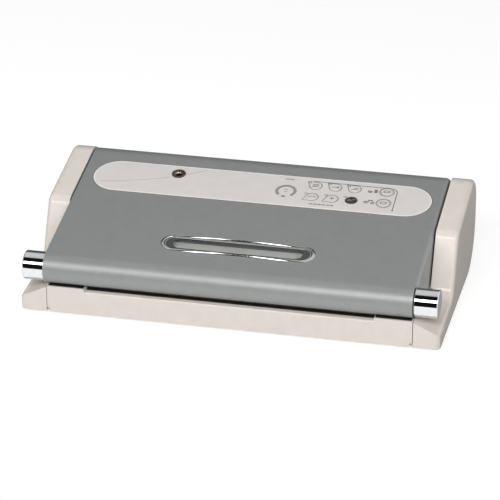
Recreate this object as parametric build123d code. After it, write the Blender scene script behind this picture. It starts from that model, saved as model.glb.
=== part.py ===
"""Vacuum sealer with a hinged lid, a sealing deck and two end caps.

Units are millimetres. +X is to the right of someone facing the machine, -Y is its front and +Z is up.
The origin lies on the ground, in the middle of the width and of the depth.
"""
import math
import os

from build123d import *

# Overall sizes
WIDTH = 423.0
DEPTH = 228.0
DECK_Z = 26.3
FOOT_HEIGHT = 2.0

# Heights that stack up from the deck
PAD_RISE = 3.2
LIP_RISE = 6.0
HINGE_RISE = 24.0

# Clearances, and how far a cut runs past the face that it opens
SEAT_GAP = 0.3
WALL_GAP = 0.1
SIDE_GAP = 1.5
PAST = 1.0

# Lid: a rounded nose in front, a flat top and a barrel round the hinge axis
LID_INSET = 24.5
LID_WALL = 2.3
NOSE_RADIUS = 16.0
NOSE_DIP = 2.8
LID_EDGE_RADIUS = 5.0
BARREL_RADIUS = 26.7
SKIRT_ANGLE = -30.0
SIDE_FOOT_SETBACK = 121.0
SIDE_DROP = 16.2

# End caps
CAP_PROUD = 0.8
CAP_WALL = 2.5
CAP_EDGE_RADIUS = 5.0
CAP_SEAM_INSET = 27.5
WEDGE_RISE = 2.2
ARM_DROP = 10.5
ARM_FOOT_RISE = 4.0
ARM_LENGTH = 76.0
ARM_FOOT_RADIUS = 16.0
LEDGE_RISE = 0.5
STEEP_RUN = 28.0
BEND_RADIUS = 12.0
REAR_FOOT_RADIUS = 44.0
PLATE_THICKNESS = 2.0
PLATE_GAP = 0.2

# Base housing
RAIL_SETBACK = 4.0
HOUSING_WALL = 3.0
PAD_DEPTH = 13.8
PAD_WIDTH = 38.0
RISER_SETBACK = 89.0
RISER_RUN = 9.0
RISER_RISE = 18.0
RISER_FOOT_RADIUS = 5.0
RISER_TOP_RADIUS = 7.0
COVER_RISE = 16.0
TROUGH_GAP = 1.3
REAR_WALL_DROP = 14.5
REAR_INSET = 0.8
RAIL_EDGE_RADIUS = 1.5
RAIL_NOTCH_WIDTH = 2.5
RAIL_NOTCH_HEIGHT = 4.0

# Vacuum channel and its two gaskets
CHANNEL_SETBACK = 35.0
CHANNEL_DEPTH = 38.0
CHANNEL_INSET = 34.0
CHANNEL_DROP = 14.3
CHANNEL_RADIUS = 8.0
GASKET_WIDTH = 7.0
GASKET_SIDE = 2.5
GASKET_GROOVE = 1.5
GASKET_PROUD = 3.7
GASKET_GAP = 0.3
GASKET_EDGE = 1.0

# Sealing bar, its heater and the strip that presses on it
BAR_SETBACK = 19.0
BAR_WIDTH = 9.0
BAR_INSET = 35.0
BAR_SLOT_DEPTH = 10.0
BAR_PROUD = 2.1
RIBBON_WIDTH = 5.0
RIBBON_THICKNESS = 0.4
TAPE_WIDTH = 9.6
TAPE_THICKNESS = 0.4
STRIP_WIDTH = 8.0
STRIP_GAP = 0.4
STRIP_HEIGHT = 7.0
STRIP_BEVEL = 0.8

# Lid liner with the upper half of the vacuum chamber
LINER_THICKNESS = 2.0
LINER_GROOVE = 1.5
LINER_TONGUE_INSET = 20.0
LINER_TONGUE_DEPTH = 15.0
LINER_FRONT_SETBACK = 13.0
LINER_RISE_SETBACK = 83.0
LINER_RISE = 20.7
LINER_RISE_RUN = 11.0
LINER_RISE_SHIFT = 1.2
LINER_REAR_GAP = 28.5
LINER_REAR_DROP = 4.5
CHAMBER_RISE = 13.7

# Window in the lid
WINDOW_LENGTH = 152.0
WINDOW_DEPTH = 22.8
WINDOW_SETBACK = 44.7
WINDOW_PROUD = 1.0
WINDOW_BEVEL = 0.9
WINDOW_FLANGE = 3.0
WINDOW_FLANGE_THICKNESS = 1.2
PANE_THICKNESS = 2.0
PANE_MARGIN = 4.0

# Control panel and its keys, in places measured along the lid's top
PANEL_MARGIN = 11.0
PANEL_DEPTH = 54.0
PANEL_HINGE_GAP = 44.5
PANEL_THICKNESS = 1.6
PANEL_RECESS = 1.2
PANEL_GLUE = 0.05
KEY_RADIUS = 5.4
KEY_GAP = 0.2
KEY_PROUD = 0.4
KEY_HEIGHT = 1.0
KEY_TRAVEL = 0.6
KEY_STEM_RADIUS = 1.8
KEY_STEM_LENGTH = 5.8
KEY_INSETS = (121.5, 101.0, 81.0, 48.0)
KEY_ROWS = (12.7, -7.5)
SWITCH_SIZE = 6.0
SWITCH_HEIGHT = 3.5
SWITCH_CLEARANCE = 0.4
BOARD_THICKNESS = 1.6
BOARD_INSET = 28.0
BOARD_LENGTH = 138.0
BOARD_DEPTH = 42.0
POST_RADIUS = 3.0
POST_INSET = 5.0
POST_ROOT = 0.5
LED_RADIUS = 1.1
LED_PROUD = 0.2
LED_SHIFT = (-7.0, 5.4)

# Accessory port on the panel, and the hose from it to the vacuum chamber
PORT_INSET = 87.0
PORT_ROW = 12.0
PORT_BORE = 3.0
PORT_BODY_RADIUS = 5.0
PORT_FLANGE_RADIUS = 7.2
PORT_FLANGE = 1.4
PORT_EDGE = 0.8
PORT_LENGTH = 9.0
PORT_SPIGOT_RADIUS = 4.2
PORT_SPIGOT_LENGTH = 5.0
HOSE_WALL = 1.2
HOSE_BEND = 6.0
HOSE_DROP = 10.5
NIPPLE_SETBACK = 66.0
ROOF_BORE = 1.0

# Hinge
PIN_RADIUS = 4.0
PIN_LENGTH = 26.0
PIN_BEVEL = 0.5
PIN_FIT = 0.02
RUNNING_FIT = 0.05
BUSH_WALL = 2.0
BUSH_LENGTH = 12.0
BUSH_COLLAR = 1.5
BUSH_COLLAR_THICKNESS = 0.8
HINGE_BOSS_WALL = 3.0

# Release buttons with their hooks
BORE_WALL = 1.3
BUTTON_GAP = 0.3
BUTTON_END_INSET = 2.0
BUTTON_ENTRY = 6.0
BUTTON_WALL = 1.5
BUTTON_EDGE = 1.3
BUTTON_DOME = 1.2
BUTTON_TRAVEL = 5.0
SHAFT_RADIUS = 4.0
SHAFT_GAP = 0.1
SHAFT_INSET = 37.0
GUIDE_INSET = 29.0
GUIDE_THICKNESS = 3.0
GUIDE_FOOT_RISE = 2.5
COLLAR_INSET = 17.0
COLLAR_RADIUS = 8.0
COLLAR_THICKNESS = 2.0
HOOK_WIDTH = 4.0
HOOK_DEPTH = 3.0
HOOK_Y_SHIFT = -1.7
HOOK_SINK = 0.8
BARB_REACH = 3.5
BARB_HEIGHT = 2.8
KEEPER_THICKNESS = 1.8
KEEPER_DROP = 10.0
KEEPER_GAP = 0.8
LATCH_CLEARANCE = 1.0
SPRING_RADIUS = 5.6
SPRING_WIRE = 0.4
SPRING_TURNS = 4

# Bottom plate, feet and screws
FLOOR_THICKNESS = 2.5
FLOOR_GAP = 0.3
FOOT_RADIUS = 9.0
FOOT_BEVEL = 0.5
FOOT_STUD_RADIUS = 4.0
FOOT_INSET = 16.0
FOOT_FRONT_SETBACK = 18.0
FOOT_REAR_SETBACK = 89.0
SCREW_RADIUS = 1.6
SCREW_LENGTH = 14.0
SCREW_HEAD_RADIUS = 3.2
SCREW_HEAD_HEIGHT = 1.4
SCREW_GAP = 0.1
SCREW_FRONT_INSET = 44.0
SCREW_REAR_INSET = 24.0
SCREW_FRONT_SETBACK = 9.5
SCREW_REAR_SETBACK = 66.0
BOSS_RADIUS = 4.0
VENT_COUNT = 9
VENT_PITCH = 7.0
VENT_WIDTH = 3.0
VENT_LENGTH = 34.0
VENT_SHIFT = (20.0, -7.0)

# Machinery under the cover, in places behind the vacuum channel
PUMP_SETBACK = 56.0
PUMP_Z = 22.0
PUMP_SIZE = (38.0, 38.0, 28.0)
PUMP_EDGE = 4.0
PUMP_MOUNT_RADIUS = 4.0
PUMP_MOUNT_INSET = (6.0, 8.0)
CYLINDER_RADIUS = 7.6
CYLINDER_RISE = 3.0
MOTOR_X = -112.0
MOTOR_RADIUS = 16.0
MOTOR_LENGTH = 55.0
MOTOR_BEVEL = 1.5
MOTOR_BOSS_RADIUS = 5.3
MOTOR_BOSS_LENGTH = 4.0
CRADLE_START = 12.0
CRADLE_LENGTH = 10.0
CRADLE_WIDTH = 20.0
INLET_RADIUS = 2.6
INLET_BORE = 1.0
INLET_LENGTH = 8.0
NOZZLE_X = -60.0
NOZZLE_RISE = 6.0
NIPPLE_FLANGE = 2.0
NOZZLE_TAIL = 9.0
SUCTION_BEND = 7.0
VALVE_X = 30.0
VALVE_SIZE = (22.0, 20.0, 14.0)
VALVE_DROP = 4.0
VALVE_EDGE = 2.0
SENSOR_X = 84.0
SENSOR_RADIUS = 7.0
SENSOR_LENGTH = 12.0
SENSOR_DROP = 4.0
CORE_X = 104.0
CORE_SETBACK = 55.0
CORE_SIZE = (54.0, 36.0, 36.0)
CORE_WINDOW = (9.0, 20.0)
COIL_BULGE = 7.0
MAIN_BOARD_X = 32.0
MAIN_BOARD_SETBACK = 53.0
MAIN_BOARD_SIZE = (54.0, 44.0)
STANDOFF_HEIGHT = 8.0
STANDOFF_RADIUS = 3.0
STANDOFF_INSET = 4.0
RELAY_PLACE = (-20.0, 2.0)
RELAY_SIZE = (19.0, 15.0, 15.0)
CONNECTOR_PLACE = (-20.0, -18.0)
CONNECTOR_SIZE = (22.0, 6.0, 9.0)
CAPACITOR_PLACES = ((12.0, 10.0), (12.0, -4.0))
CAPACITOR_RADIUS = 4.5
CAPACITOR_HEIGHT = 16.0
GLAND_X = 122.0
GLAND_ANGLE = -32.0
GLAND_FLANGE_RADIUS = 9.0
GLAND_RADIUS = 6.0
GLAND_BORE = 3.6
GLAND_FLANGE = 2.0
GLAND_BEVEL = 0.6
GLAND_LENGTH = 8.0

# Heights that follow from the sizes above
PAD_Z = DECK_Z + PAD_RISE
LIP_Z = DECK_Z + LIP_RISE
NOSE_Z = LIP_Z + NOSE_RADIUS - NOSE_DIP
HINGE_Z = NOSE_Z + HINGE_RISE
REAR_WALL_Z = HINGE_Z - REAR_WALL_DROP
WEDGE_Z = DECK_Z + WEDGE_RISE
ARM_Z = WEDGE_Z - ARM_DROP
LEDGE_Z = WEDGE_Z + LEDGE_RISE
CHANNEL_FLOOR_Z = DECK_Z - CHANNEL_DROP
CHAMBER_ROOF_Z = LIP_Z + CHAMBER_RISE
GASKET_TOP_Z = DECK_Z + GASKET_PROUD
UPPER_GASKET_Z = GASKET_TOP_Z + GASKET_GAP
BAR_TOP_Z = DECK_Z + BAR_PROUD
TAPE_TOP_Z = BAR_TOP_Z + TAPE_THICKNESS
STRIP_Z = TAPE_TOP_Z + STRIP_GAP
LINER_REAR_Z = HINGE_Z - LINER_REAR_DROP
FLOOR_TOP_Z = FOOT_HEIGHT + FLOOR_THICKNESS
NOZZLE_Z = CHANNEL_FLOOR_Z + NOZZLE_RISE
HOOK_TIP_Z = DECK_Z - HOOK_SINK
GUIDE_FOOT_Z = LIP_Z + GUIDE_FOOT_RISE

# Places along Y that follow
NOSE_Y = -DEPTH / 2
REAR_Y = DEPTH / 2
RAIL_Y = NOSE_Y + RAIL_SETBACK
RISER_Y = RAIL_Y + RISER_SETBACK
CHANNEL_FRONT_Y = RAIL_Y + CHANNEL_SETBACK
CHANNEL_Y = CHANNEL_FRONT_Y + CHANNEL_DEPTH / 2
CHANNEL_BACK_Y = CHANNEL_FRONT_Y + CHANNEL_DEPTH
BAR_Y = RAIL_Y + BAR_SETBACK
LINER_FRONT_Y = RAIL_Y + LINER_FRONT_SETBACK
PUMP_Y = CHANNEL_BACK_Y + PUMP_SETBACK
CORE_CENTRE = (CORE_X, CHANNEL_BACK_Y + CORE_SETBACK)
MAIN_BOARD_CENTRE = (MAIN_BOARD_X, CHANNEL_BACK_Y + MAIN_BOARD_SETBACK)
VENT_PLACE = (MOTOR_X + VENT_SHIFT[0], PUMP_Y + VENT_SHIFT[1])

# Places along X that follow
LID_HALF = WIDTH / 2 - LID_INSET
INNER_X = LID_HALF - LID_WALL
PLATE_X = LID_HALF + SIDE_GAP
SEAM_X = WIDTH / 2 - CAP_SEAM_INSET
HOUSING_INNER_X = SEAM_X - HOUSING_WALL
PAD_X = SEAM_X - PAD_WIDTH
CHANNEL_WIDTH = 2 * (LID_HALF - CHANNEL_INSET)
BAR_LENGTH = 2 * (LID_HALF - BAR_INSET)
TONGUE_X = LID_HALF - LINER_TONGUE_INSET
PANEL_LENGTH = 2 * (LID_HALF - PANEL_MARGIN)
KEY_COLUMNS = [PANEL_LENGTH / 2 - inset for inset in KEY_INSETS]
BOARD_RIGHT = PANEL_LENGTH / 2 - BOARD_INSET
BOARD_LEFT = BOARD_RIGHT - BOARD_LENGTH
PORT_X = PORT_INSET - PANEL_LENGTH / 2
SHAFT_INNER_X = LID_HALF - SHAFT_INSET
GUIDE_X = LID_HALF - GUIDE_INSET
COLLAR_X = LID_HALF - COLLAR_INSET
FOOT_X = SEAM_X - FOOT_INSET
FOOT_PLACES = [
    (x, y) for y in (RAIL_Y + FOOT_FRONT_SETBACK, REAR_Y - FOOT_REAR_SETBACK) for x in (-FOOT_X, FOOT_X)
]
SCREW_ROWS = (
    (RAIL_Y + SCREW_FRONT_SETBACK, SEAM_X - SCREW_FRONT_INSET),
    (REAR_Y - SCREW_REAR_SETBACK, SEAM_X - SCREW_REAR_INSET),
)
SCREW_PLACES = [(x, y) for y, far in SCREW_ROWS for x in (-far, 0, far)]

# Points and angles of the lid's side view, and sizes of what turns or slides in it
NOSE = (NOSE_Y + NOSE_RADIUS, NOSE_Z)
HINGE = (REAR_Y - BARREL_RADIUS - CAP_PROUD, HINGE_Z)
SPAN = math.hypot(HINGE[0] - NOSE[0], HINGE[1] - NOSE[1])
SLOPE = math.degrees(
    math.atan2(HINGE[1] - NOSE[1], HINGE[0] - NOSE[0]) + math.asin((BARREL_RADIUS - NOSE_RADIUS) / SPAN)
)
TOP_ANGLE = 90.0 + SLOPE
LIP_ANGLE = 180.0 + math.degrees(math.asin((NOSE_Z - LIP_Z) / NOSE_RADIUS))
BUSH_RADIUS = PIN_RADIUS + BUSH_WALL
HINGE_BOSS_RADIUS = BUSH_RADIUS + HINGE_BOSS_WALL
BORE_RADIUS = NOSE_RADIUS - BORE_WALL
BUTTON_RADIUS = BORE_RADIUS - BUTTON_GAP
DOME_RADIUS = (BUTTON_RADIUS ** 2 + BUTTON_DOME ** 2) / (2 * BUTTON_DOME)
HOSE_RADIUS = PORT_SPIGOT_RADIUS + RUNNING_FIT

# Heights above the lid's top, in the panel's own frame
PANEL_TOP = PANEL_THICKNESS - PANEL_RECESS
KEY_TOP = PANEL_TOP + KEY_PROUD
KEY_FOOT = KEY_TOP - KEY_HEIGHT - KEY_STEM_LENGTH
SWITCH_TOP = KEY_FOOT - KEY_TRAVEL - SWITCH_CLEARANCE
BOARD_TOP = SWITCH_TOP - SWITCH_HEIGHT


def polar(centre, radius, angle):
    """Point at an angle in degrees on a circle in the side view."""
    return (
        centre[0] + radius * math.cos(math.radians(angle)),
        centre[1] + radius * math.sin(math.radians(angle)),
    )


def arc(centre, radius, start, end):
    """Arc between two angles in the side view."""
    return ThreePointArc(
        polar(centre, radius, start), polar(centre, radius, (start + end) / 2), polar(centre, radius, end)
    )


def side_face(*points):
    """Closed polygon in the side view."""
    return make_face(Polyline(*points, close=True))


def round_corner(face, corner, radius):
    """Round the corner of a side-view face that lies nearest to a point."""
    return fillet(face.vertices().sort_by_distance((corner[0], corner[1], 0))[0], radius)


def across(face, left, right):
    """Prism over a side-view face, from one X to another."""
    return extrude(Plane.YZ.offset(left) * face, right - left)


def block(left, right, front, back, low, high):
    """Box between limits along X, Y and Z."""
    return Pos((left + right) / 2, (front + back) / 2, (low + high) / 2) * Box(
        right - left, back - front, high - low
    )


def rod_x(centre, radius, left, right):
    """Cylinder along X round a point of the side view."""
    return Pos((left + right) / 2, centre[0], centre[1]) * Rot(0, 90, 0) * Cylinder(radius, right - left)


def rod_y(x, z, radius, front, back):
    """Cylinder along Y."""
    return Pos(x, (front + back) / 2, z) * Rot(90, 0, 0) * Cylinder(radius, back - front)


def rod_z(place, radius, low, high):
    """Upright cylinder."""
    return Pos(place[0], place[1], (low + high) / 2) * Cylinder(radius, high - low)


def other_side(part):
    """Copy of a right-hand piece for the left."""
    return mirror(part, about=Plane.YZ)


def lid_top_z(y):
    """Height of the lid's flat top at a place along Y."""
    start = polar(NOSE, NOSE_RADIUS, TOP_ANGLE)
    return start[1] + (y - start[0]) * math.tan(math.radians(SLOPE))


def lid_plane(y):
    """Plane on the lid's top at a place along Y."""
    tilt = math.radians(SLOPE)
    return Plane(
        origin=(0, y, lid_top_z(y)), x_dir=(1, 0, 0), z_dir=(0, -math.sin(tilt), math.cos(tilt))
    )


PANEL_PLANE = lid_plane(HINGE[0] - PANEL_HINGE_GAP)
WINDOW_PLANE = lid_plane(RAIL_Y + WINDOW_SETBACK)


def on_plane(plane, sketch, low, high):
    """Prism over a sketch, between two heights above a plane."""
    return extrude(plane.offset(low) * sketch, high - low)


def outer_rim(part, plane):
    """Round edge of a piece that stands highest above a plane."""
    circles = part.edges().filter_by(GeomType.CIRCLE)
    return circles.sort_by(lambda edge: plane.to_local_coords(edge.center()).Z)[-1]


def stadium(length, depth, grow=0.0):
    """Slot outline with round ends."""
    return SlotOverall(length + 2 * grow, depth + 2 * grow)


def gasket_ring(grow=0.0):
    """Flat ring round the vacuum channel, seen from above."""
    inner = GASKET_SIDE - grow
    outer = GASKET_SIDE + GASKET_WIDTH + grow
    ring = RectangleRounded(
        CHANNEL_WIDTH + 2 * outer, CHANNEL_DEPTH + 2 * outer, CHANNEL_RADIUS + outer
    ) - RectangleRounded(CHANNEL_WIDTH + 2 * inner, CHANNEL_DEPTH + 2 * inner, CHANNEL_RADIUS + inner)
    return Pos(0, CHANNEL_Y, 0) * ring


def channel_plan(grow=0.0):
    """Outline of the vacuum channel, seen from above."""
    return Pos(0, CHANNEL_Y, 0) * RectangleRounded(
        CHANNEL_WIDTH + 2 * grow, CHANNEL_DEPTH + 2 * grow, CHANNEL_RADIUS + grow
    )


# Base housing and what closes it
def housing_outline():
    """Side view of the base housing, with the hinge trough still filled."""
    riser_top = (RISER_Y + RISER_RUN, DECK_Z + RISER_RISE)
    cover_end = (HINGE[0] - BARREL_RADIUS, riser_top[1] + COVER_RISE)
    skin_y = REAR_Y - REAR_INSET
    face = side_face(
        (RAIL_Y, FOOT_HEIGHT),
        (RAIL_Y, DECK_Z),
        (RISER_Y, DECK_Z),
        riser_top,
        cover_end,
        (cover_end[0], REAR_WALL_Z),
        (skin_y, REAR_WALL_Z),
        (skin_y, FOOT_HEIGHT),
    )
    face = round_corner(face, (RISER_Y, DECK_Z), RISER_FOOT_RADIUS)
    face = round_corner(face, riser_top, RISER_TOP_RADIUS)
    return round_corner(face, (skin_y, FOOT_HEIGHT), REAR_FOOT_RADIUS - REAR_INSET)


def bar_slot(grow=0.0):
    """Room for the sealing bar."""
    half = BAR_LENGTH / 2 + WALL_GAP + grow
    reach = BAR_WIDTH / 2 + WALL_GAP + grow
    return block(-half, half, BAR_Y - reach, BAR_Y + reach, DECK_Z - BAR_SLOT_DEPTH - grow, PAD_Z)


def latch_slot():
    """Opening in the right-hand pad for the hook, over its travel."""
    left = COLLAR_X + COLLAR_THICKNESS - BUTTON_TRAVEL - LATCH_CLEARANCE
    right = COLLAR_X + COLLAR_THICKNESS + HOOK_WIDTH + BARB_REACH + LATCH_CLEARANCE
    front = NOSE[0] + HOOK_Y_SHIFT - HOOK_DEPTH / 2 - 2 * LATCH_CLEARANCE
    back = NOSE[0] + HOOK_Y_SHIFT + HOOK_DEPTH / 2 + LATCH_CLEARANCE
    return block(left, right, front, back, DECK_Z - 2 * HOUSING_WALL, PAD_Z + PAST)


def pad_pocket():
    """Hollow under the right-hand pad for the keeper."""
    front = RAIL_Y + HOUSING_WALL
    back = RAIL_Y + PAD_DEPTH - HOUSING_WALL / 2
    low = DECK_Z - 2 * HOUSING_WALL
    return block(GUIDE_X + HOUSING_WALL, HOUSING_INNER_X, front, back, low, PAD_Z - HOUSING_WALL)


def gland_plane():
    """Plane on the rear wall's curve, facing out."""
    radius = REAR_FOOT_RADIUS - REAR_INSET
    y, z = polar((REAR_Y - REAR_INSET - radius, FOOT_HEIGHT + radius), radius, GLAND_ANGLE)
    direction = polar((0, 0), 1, GLAND_ANGLE)
    return Plane(origin=(GLAND_X, y, z), x_dir=(1, 0, 0), z_dir=(0, direction[0], direction[1]))


def base_housing():
    """Front rail, deck with vacuum channel, machinery cover, hinge trough and rear wall in one moulding."""
    outline = housing_outline()
    solid = across(outline, -SEAM_X, SEAM_X)
    solid = fillet(solid.edges().filter_by(Axis.X).sort_by_distance((0, RAIL_Y, DECK_Z))[0], RAIL_EDGE_RADIUS)
    for side in (-1, 1):
        ends = sorted((side * PAD_X, side * SEAM_X))
        solid += block(*ends, RAIL_Y, RAIL_Y + PAD_DEPTH, DECK_Z - RAIL_EDGE_RADIUS, PAD_Z)
    solid -= rod_x(HINGE, BARREL_RADIUS + TROUGH_GAP, -SEAM_X, SEAM_X)

    bottom = side_face(
        (RAIL_Y + HOUSING_WALL, 0),
        (RAIL_Y + HOUSING_WALL, 2 * HOUSING_WALL + FOOT_HEIGHT),
        (REAR_Y - REAR_FOOT_RADIUS, 2 * HOUSING_WALL + FOOT_HEIGHT),
        (REAR_Y - REAR_FOOT_RADIUS, 0),
    )
    hollow = across(offset(outline, amount=-HOUSING_WALL) + bottom, -HOUSING_INNER_X, HOUSING_INNER_X)
    hollow -= rod_x(HINGE, BARREL_RADIUS + TROUGH_GAP + HOUSING_WALL, -SEAM_X, SEAM_X)
    hollow -= extrude(
        Pos(0, 0, CHANNEL_FLOOR_Z - HOUSING_WALL) * channel_plan(HOUSING_WALL), DECK_Z - CHANNEL_FLOOR_Z
    )
    hollow -= bar_slot(HOUSING_WALL)
    for place in SCREW_PLACES:
        hollow -= rod_z(place, BOSS_RADIUS, FLOOR_TOP_Z, HINGE_Z)
    hollow += pad_pocket() + other_side(pad_pocket())

    solid -= hollow
    solid -= extrude(Pos(0, 0, CHANNEL_FLOOR_Z) * channel_plan(), DECK_Z)
    solid -= bar_slot()
    solid -= extrude(Pos(0, 0, DECK_Z - GASKET_GROOVE) * gasket_ring(WALL_GAP), DECK_Z)
    solid -= latch_slot() + other_side(latch_slot())
    back = CHANNEL_BACK_Y + HOUSING_WALL
    for x in (NOZZLE_X, VALVE_X, SENSOR_X):
        solid -= rod_y(x, NOZZLE_Z, INLET_RADIUS + WALL_GAP, CHANNEL_BACK_Y - PAST, back + PAST)
    for place in SCREW_PLACES:
        solid -= rod_z(place, SCREW_RADIUS + SCREW_GAP, 0, FOOT_HEIGHT + SCREW_LENGTH + SCREW_GAP)
    solid -= on_plane(gland_plane(), Circle(GLAND_RADIUS + WALL_GAP), -2 * GLAND_LENGTH, PAST)
    for side in (-1, 1):
        edges = sorted((side * SEAM_X, side * (SEAM_X - RAIL_NOTCH_WIDTH)))
        solid -= block(*edges, RAIL_Y - PAST, RAIL_Y + HOUSING_WALL, 0, FOOT_HEIGHT + RAIL_NOTCH_HEIGHT)
    return solid


def bottom_plate():
    """Flat floor with vents, foot holes and standoffs for the main board."""
    half = HOUSING_INNER_X - FLOOR_GAP
    front = RAIL_Y + HOUSING_WALL + FLOOR_GAP
    back = REAR_Y - REAR_FOOT_RADIUS - FLOOR_GAP
    plate = block(-half, half, front, back, FOOT_HEIGHT, FLOOR_TOP_Z)
    for place in SCREW_PLACES:
        plate -= rod_z(place, SCREW_RADIUS + SCREW_GAP, 0, DECK_Z)
        plate -= rod_z(place, SCREW_HEAD_RADIUS + SCREW_GAP, 0, FOOT_HEIGHT + SCREW_HEAD_HEIGHT)
    for place in FOOT_PLACES:
        plate -= rod_z(place, FOOT_STUD_RADIUS + WALL_GAP, 0, DECK_Z)
    for index in range(VENT_COUNT):
        x = VENT_PLACE[0] + (index - (VENT_COUNT - 1) / 2) * VENT_PITCH
        slot = Pos(x, VENT_PLACE[1], 0) * Rot(0, 0, 90) * SlotOverall(VENT_LENGTH, VENT_WIDTH)
        plate -= extrude(slot, DECK_Z)
    for x, y in board_corners():
        plate += rod_z((x, y), STANDOFF_RADIUS, FOOT_HEIGHT, FLOOR_TOP_Z + STANDOFF_HEIGHT)
    return plate


def rubber_feet():
    """Four round feet with studs in the floor."""
    feet = Part()
    for place in FOOT_PLACES:
        foot = rod_z(place, FOOT_RADIUS, 0, FOOT_HEIGHT)
        foot = chamfer(foot.edges().group_by(Axis.Z)[0], FOOT_BEVEL)
        feet += foot + rod_z(place, FOOT_STUD_RADIUS, FOOT_HEIGHT, FLOOR_TOP_Z)
    return feet


def base_screws():
    """Screws that hold the floor to the housing's bosses."""
    screws = Part()
    for place in SCREW_PLACES:
        head = rod_z(place, SCREW_HEAD_RADIUS, FOOT_HEIGHT, FOOT_HEIGHT + SCREW_HEAD_HEIGHT)
        screws += head + rod_z(place, SCREW_RADIUS, FOOT_HEIGHT, FOOT_HEIGHT + SCREW_LENGTH)
    return screws


# End caps with their hinge plates and pins
def cap_outline(drop=0.0):
    """Side view of an end cap, with its bottom lowered by drop and its rear unchanged."""
    low = FOOT_HEIGHT - drop
    foot = (RAIL_Y + ARM_LENGTH, ARM_Z + ARM_FOOT_RISE)
    rise = CAP_PROUD / math.cos(math.radians(SLOPE))
    bend = (foot[0] + STEEP_RUN, lid_top_z(foot[0] + STEEP_RUN) + rise)
    rear = (REAR_Y, lid_top_z(REAR_Y) + rise)
    face = side_face(
        (RAIL_Y, low), (RAIL_Y, ARM_Z), foot, bend, rear, (REAR_Y, low)
    )
    face = round_corner(face, foot, ARM_FOOT_RADIUS)
    face = round_corner(face, bend, BEND_RADIUS)
    face = round_corner(face, rear, BARREL_RADIUS + CAP_PROUD)
    return round_corner(face, (REAR_Y, low), REAR_FOOT_RADIUS + drop)


def end_cap():
    """Right-hand end cap: a hollow side moulding with a sloped shelf in front."""
    outline = cap_outline()
    cap = across(cap_outline(CAP_EDGE_RADIUS), SEAM_X, WIDTH / 2)
    cap = fillet(cap.faces().sort_by(Axis.X)[-1].edges(), CAP_EDGE_RADIUS)
    cap -= block(0, WIDTH, NOSE_Y - PAST, REAR_Y + PAST, -DEPTH, FOOT_HEIGHT)
    shelf_edge = WIDTH / 2 - CAP_EDGE_RADIUS
    root = ARM_Z / 2
    shelf = make_face(
        Polyline((SEAM_X, root), (SEAM_X, WEDGE_Z), (shelf_edge, ARM_Z), (shelf_edge, root), close=True)
    )
    cap += extrude(Plane.XZ.offset(-RAIL_Y) * shelf, -(ARM_LENGTH + STEEP_RUN / 3))
    cap -= block(SEAM_X - PAST, PLATE_X, NOSE_Y - PAST, REAR_Y + PAST, LEDGE_Z, DEPTH)
    cap -= across(offset(outline, amount=-CAP_WALL), PLATE_X, WIDTH / 2 - CAP_WALL)
    return cap


def hinge_plate():
    """Right-hand plate that closes the end cap and carries the hinge pin."""
    face = offset(cap_outline(), amount=-(CAP_WALL + PLATE_GAP))
    plate = across(face, PLATE_X, PLATE_X + PLATE_THICKNESS)
    plate += rod_x(HINGE, HINGE_BOSS_RADIUS, PLATE_X, WIDTH / 2 - 2 * CAP_WALL)
    plate -= block(PLATE_X - PAST, WIDTH / 2, NOSE_Y, REAR_Y, 0, LEDGE_Z + PLATE_GAP)
    return plate - rod_x(HINGE, PIN_RADIUS + PIN_FIT, PLATE_X - PAST, WIDTH / 2)


def hinge_pin():
    """Right-hand hinge pin."""
    right = WIDTH / 2 - 3 * CAP_WALL
    pin = rod_x(HINGE, PIN_RADIUS, right - PIN_LENGTH, right)
    return chamfer(pin.edges().filter_by(GeomType.CIRCLE), PIN_BEVEL)


def hinge_bush():
    """Right-hand bush in the lid that turns on the pin."""
    bush = rod_x(HINGE, BUSH_RADIUS, LID_HALF - BUSH_LENGTH, LID_HALF)
    bush += rod_x(HINGE, BUSH_RADIUS + BUSH_COLLAR, LID_HALF, LID_HALF + BUSH_COLLAR_THICKNESS)
    return bush - rod_x(HINGE, PIN_RADIUS + RUNNING_FIT, 0, WIDTH)


# Sealing bar and gaskets
def seal_bar():
    """Carrier of the heater ribbon, with a shallow groove along its top."""
    bar = block(
        -BAR_LENGTH / 2, BAR_LENGTH / 2, BAR_Y - BAR_WIDTH / 2, BAR_Y + BAR_WIDTH / 2,
        DECK_Z - BAR_SLOT_DEPTH, BAR_TOP_Z,
    )
    groove = RIBBON_WIDTH / 2 + WALL_GAP
    return bar - block(
        -BAR_LENGTH, BAR_LENGTH, BAR_Y - groove, BAR_Y + groove, BAR_TOP_Z - RIBBON_THICKNESS, PAD_Z
    )


def heater_ribbon():
    """Flat heater wire in the bar's groove."""
    half = BAR_LENGTH / 2
    return block(
        -half, half, BAR_Y - RIBBON_WIDTH / 2, BAR_Y + RIBBON_WIDTH / 2, BAR_TOP_Z - RIBBON_THICKNESS, BAR_TOP_Z
    )


def release_tape():
    """Non-stick tape over the bar."""
    half = BAR_LENGTH / 2
    return block(-half, half, BAR_Y - TAPE_WIDTH / 2, BAR_Y + TAPE_WIDTH / 2, BAR_TOP_Z, TAPE_TOP_Z)


def lower_gasket():
    """Soft ring in the deck's groove."""
    ring = extrude(Pos(0, 0, DECK_Z - GASKET_GROOVE) * gasket_ring(), GASKET_TOP_Z - DECK_Z + GASKET_GROOVE)
    return fillet(ring.edges().group_by(Axis.Z)[-1], GASKET_EDGE)


def upper_gasket():
    """Soft ring under the lid's liner."""
    top = LIP_Z + LINER_GROOVE
    ring = extrude(Pos(0, 0, UPPER_GASKET_Z) * gasket_ring(), top - UPPER_GASKET_Z)
    return fillet(ring.edges().group_by(Axis.Z)[0], GASKET_EDGE)


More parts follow.
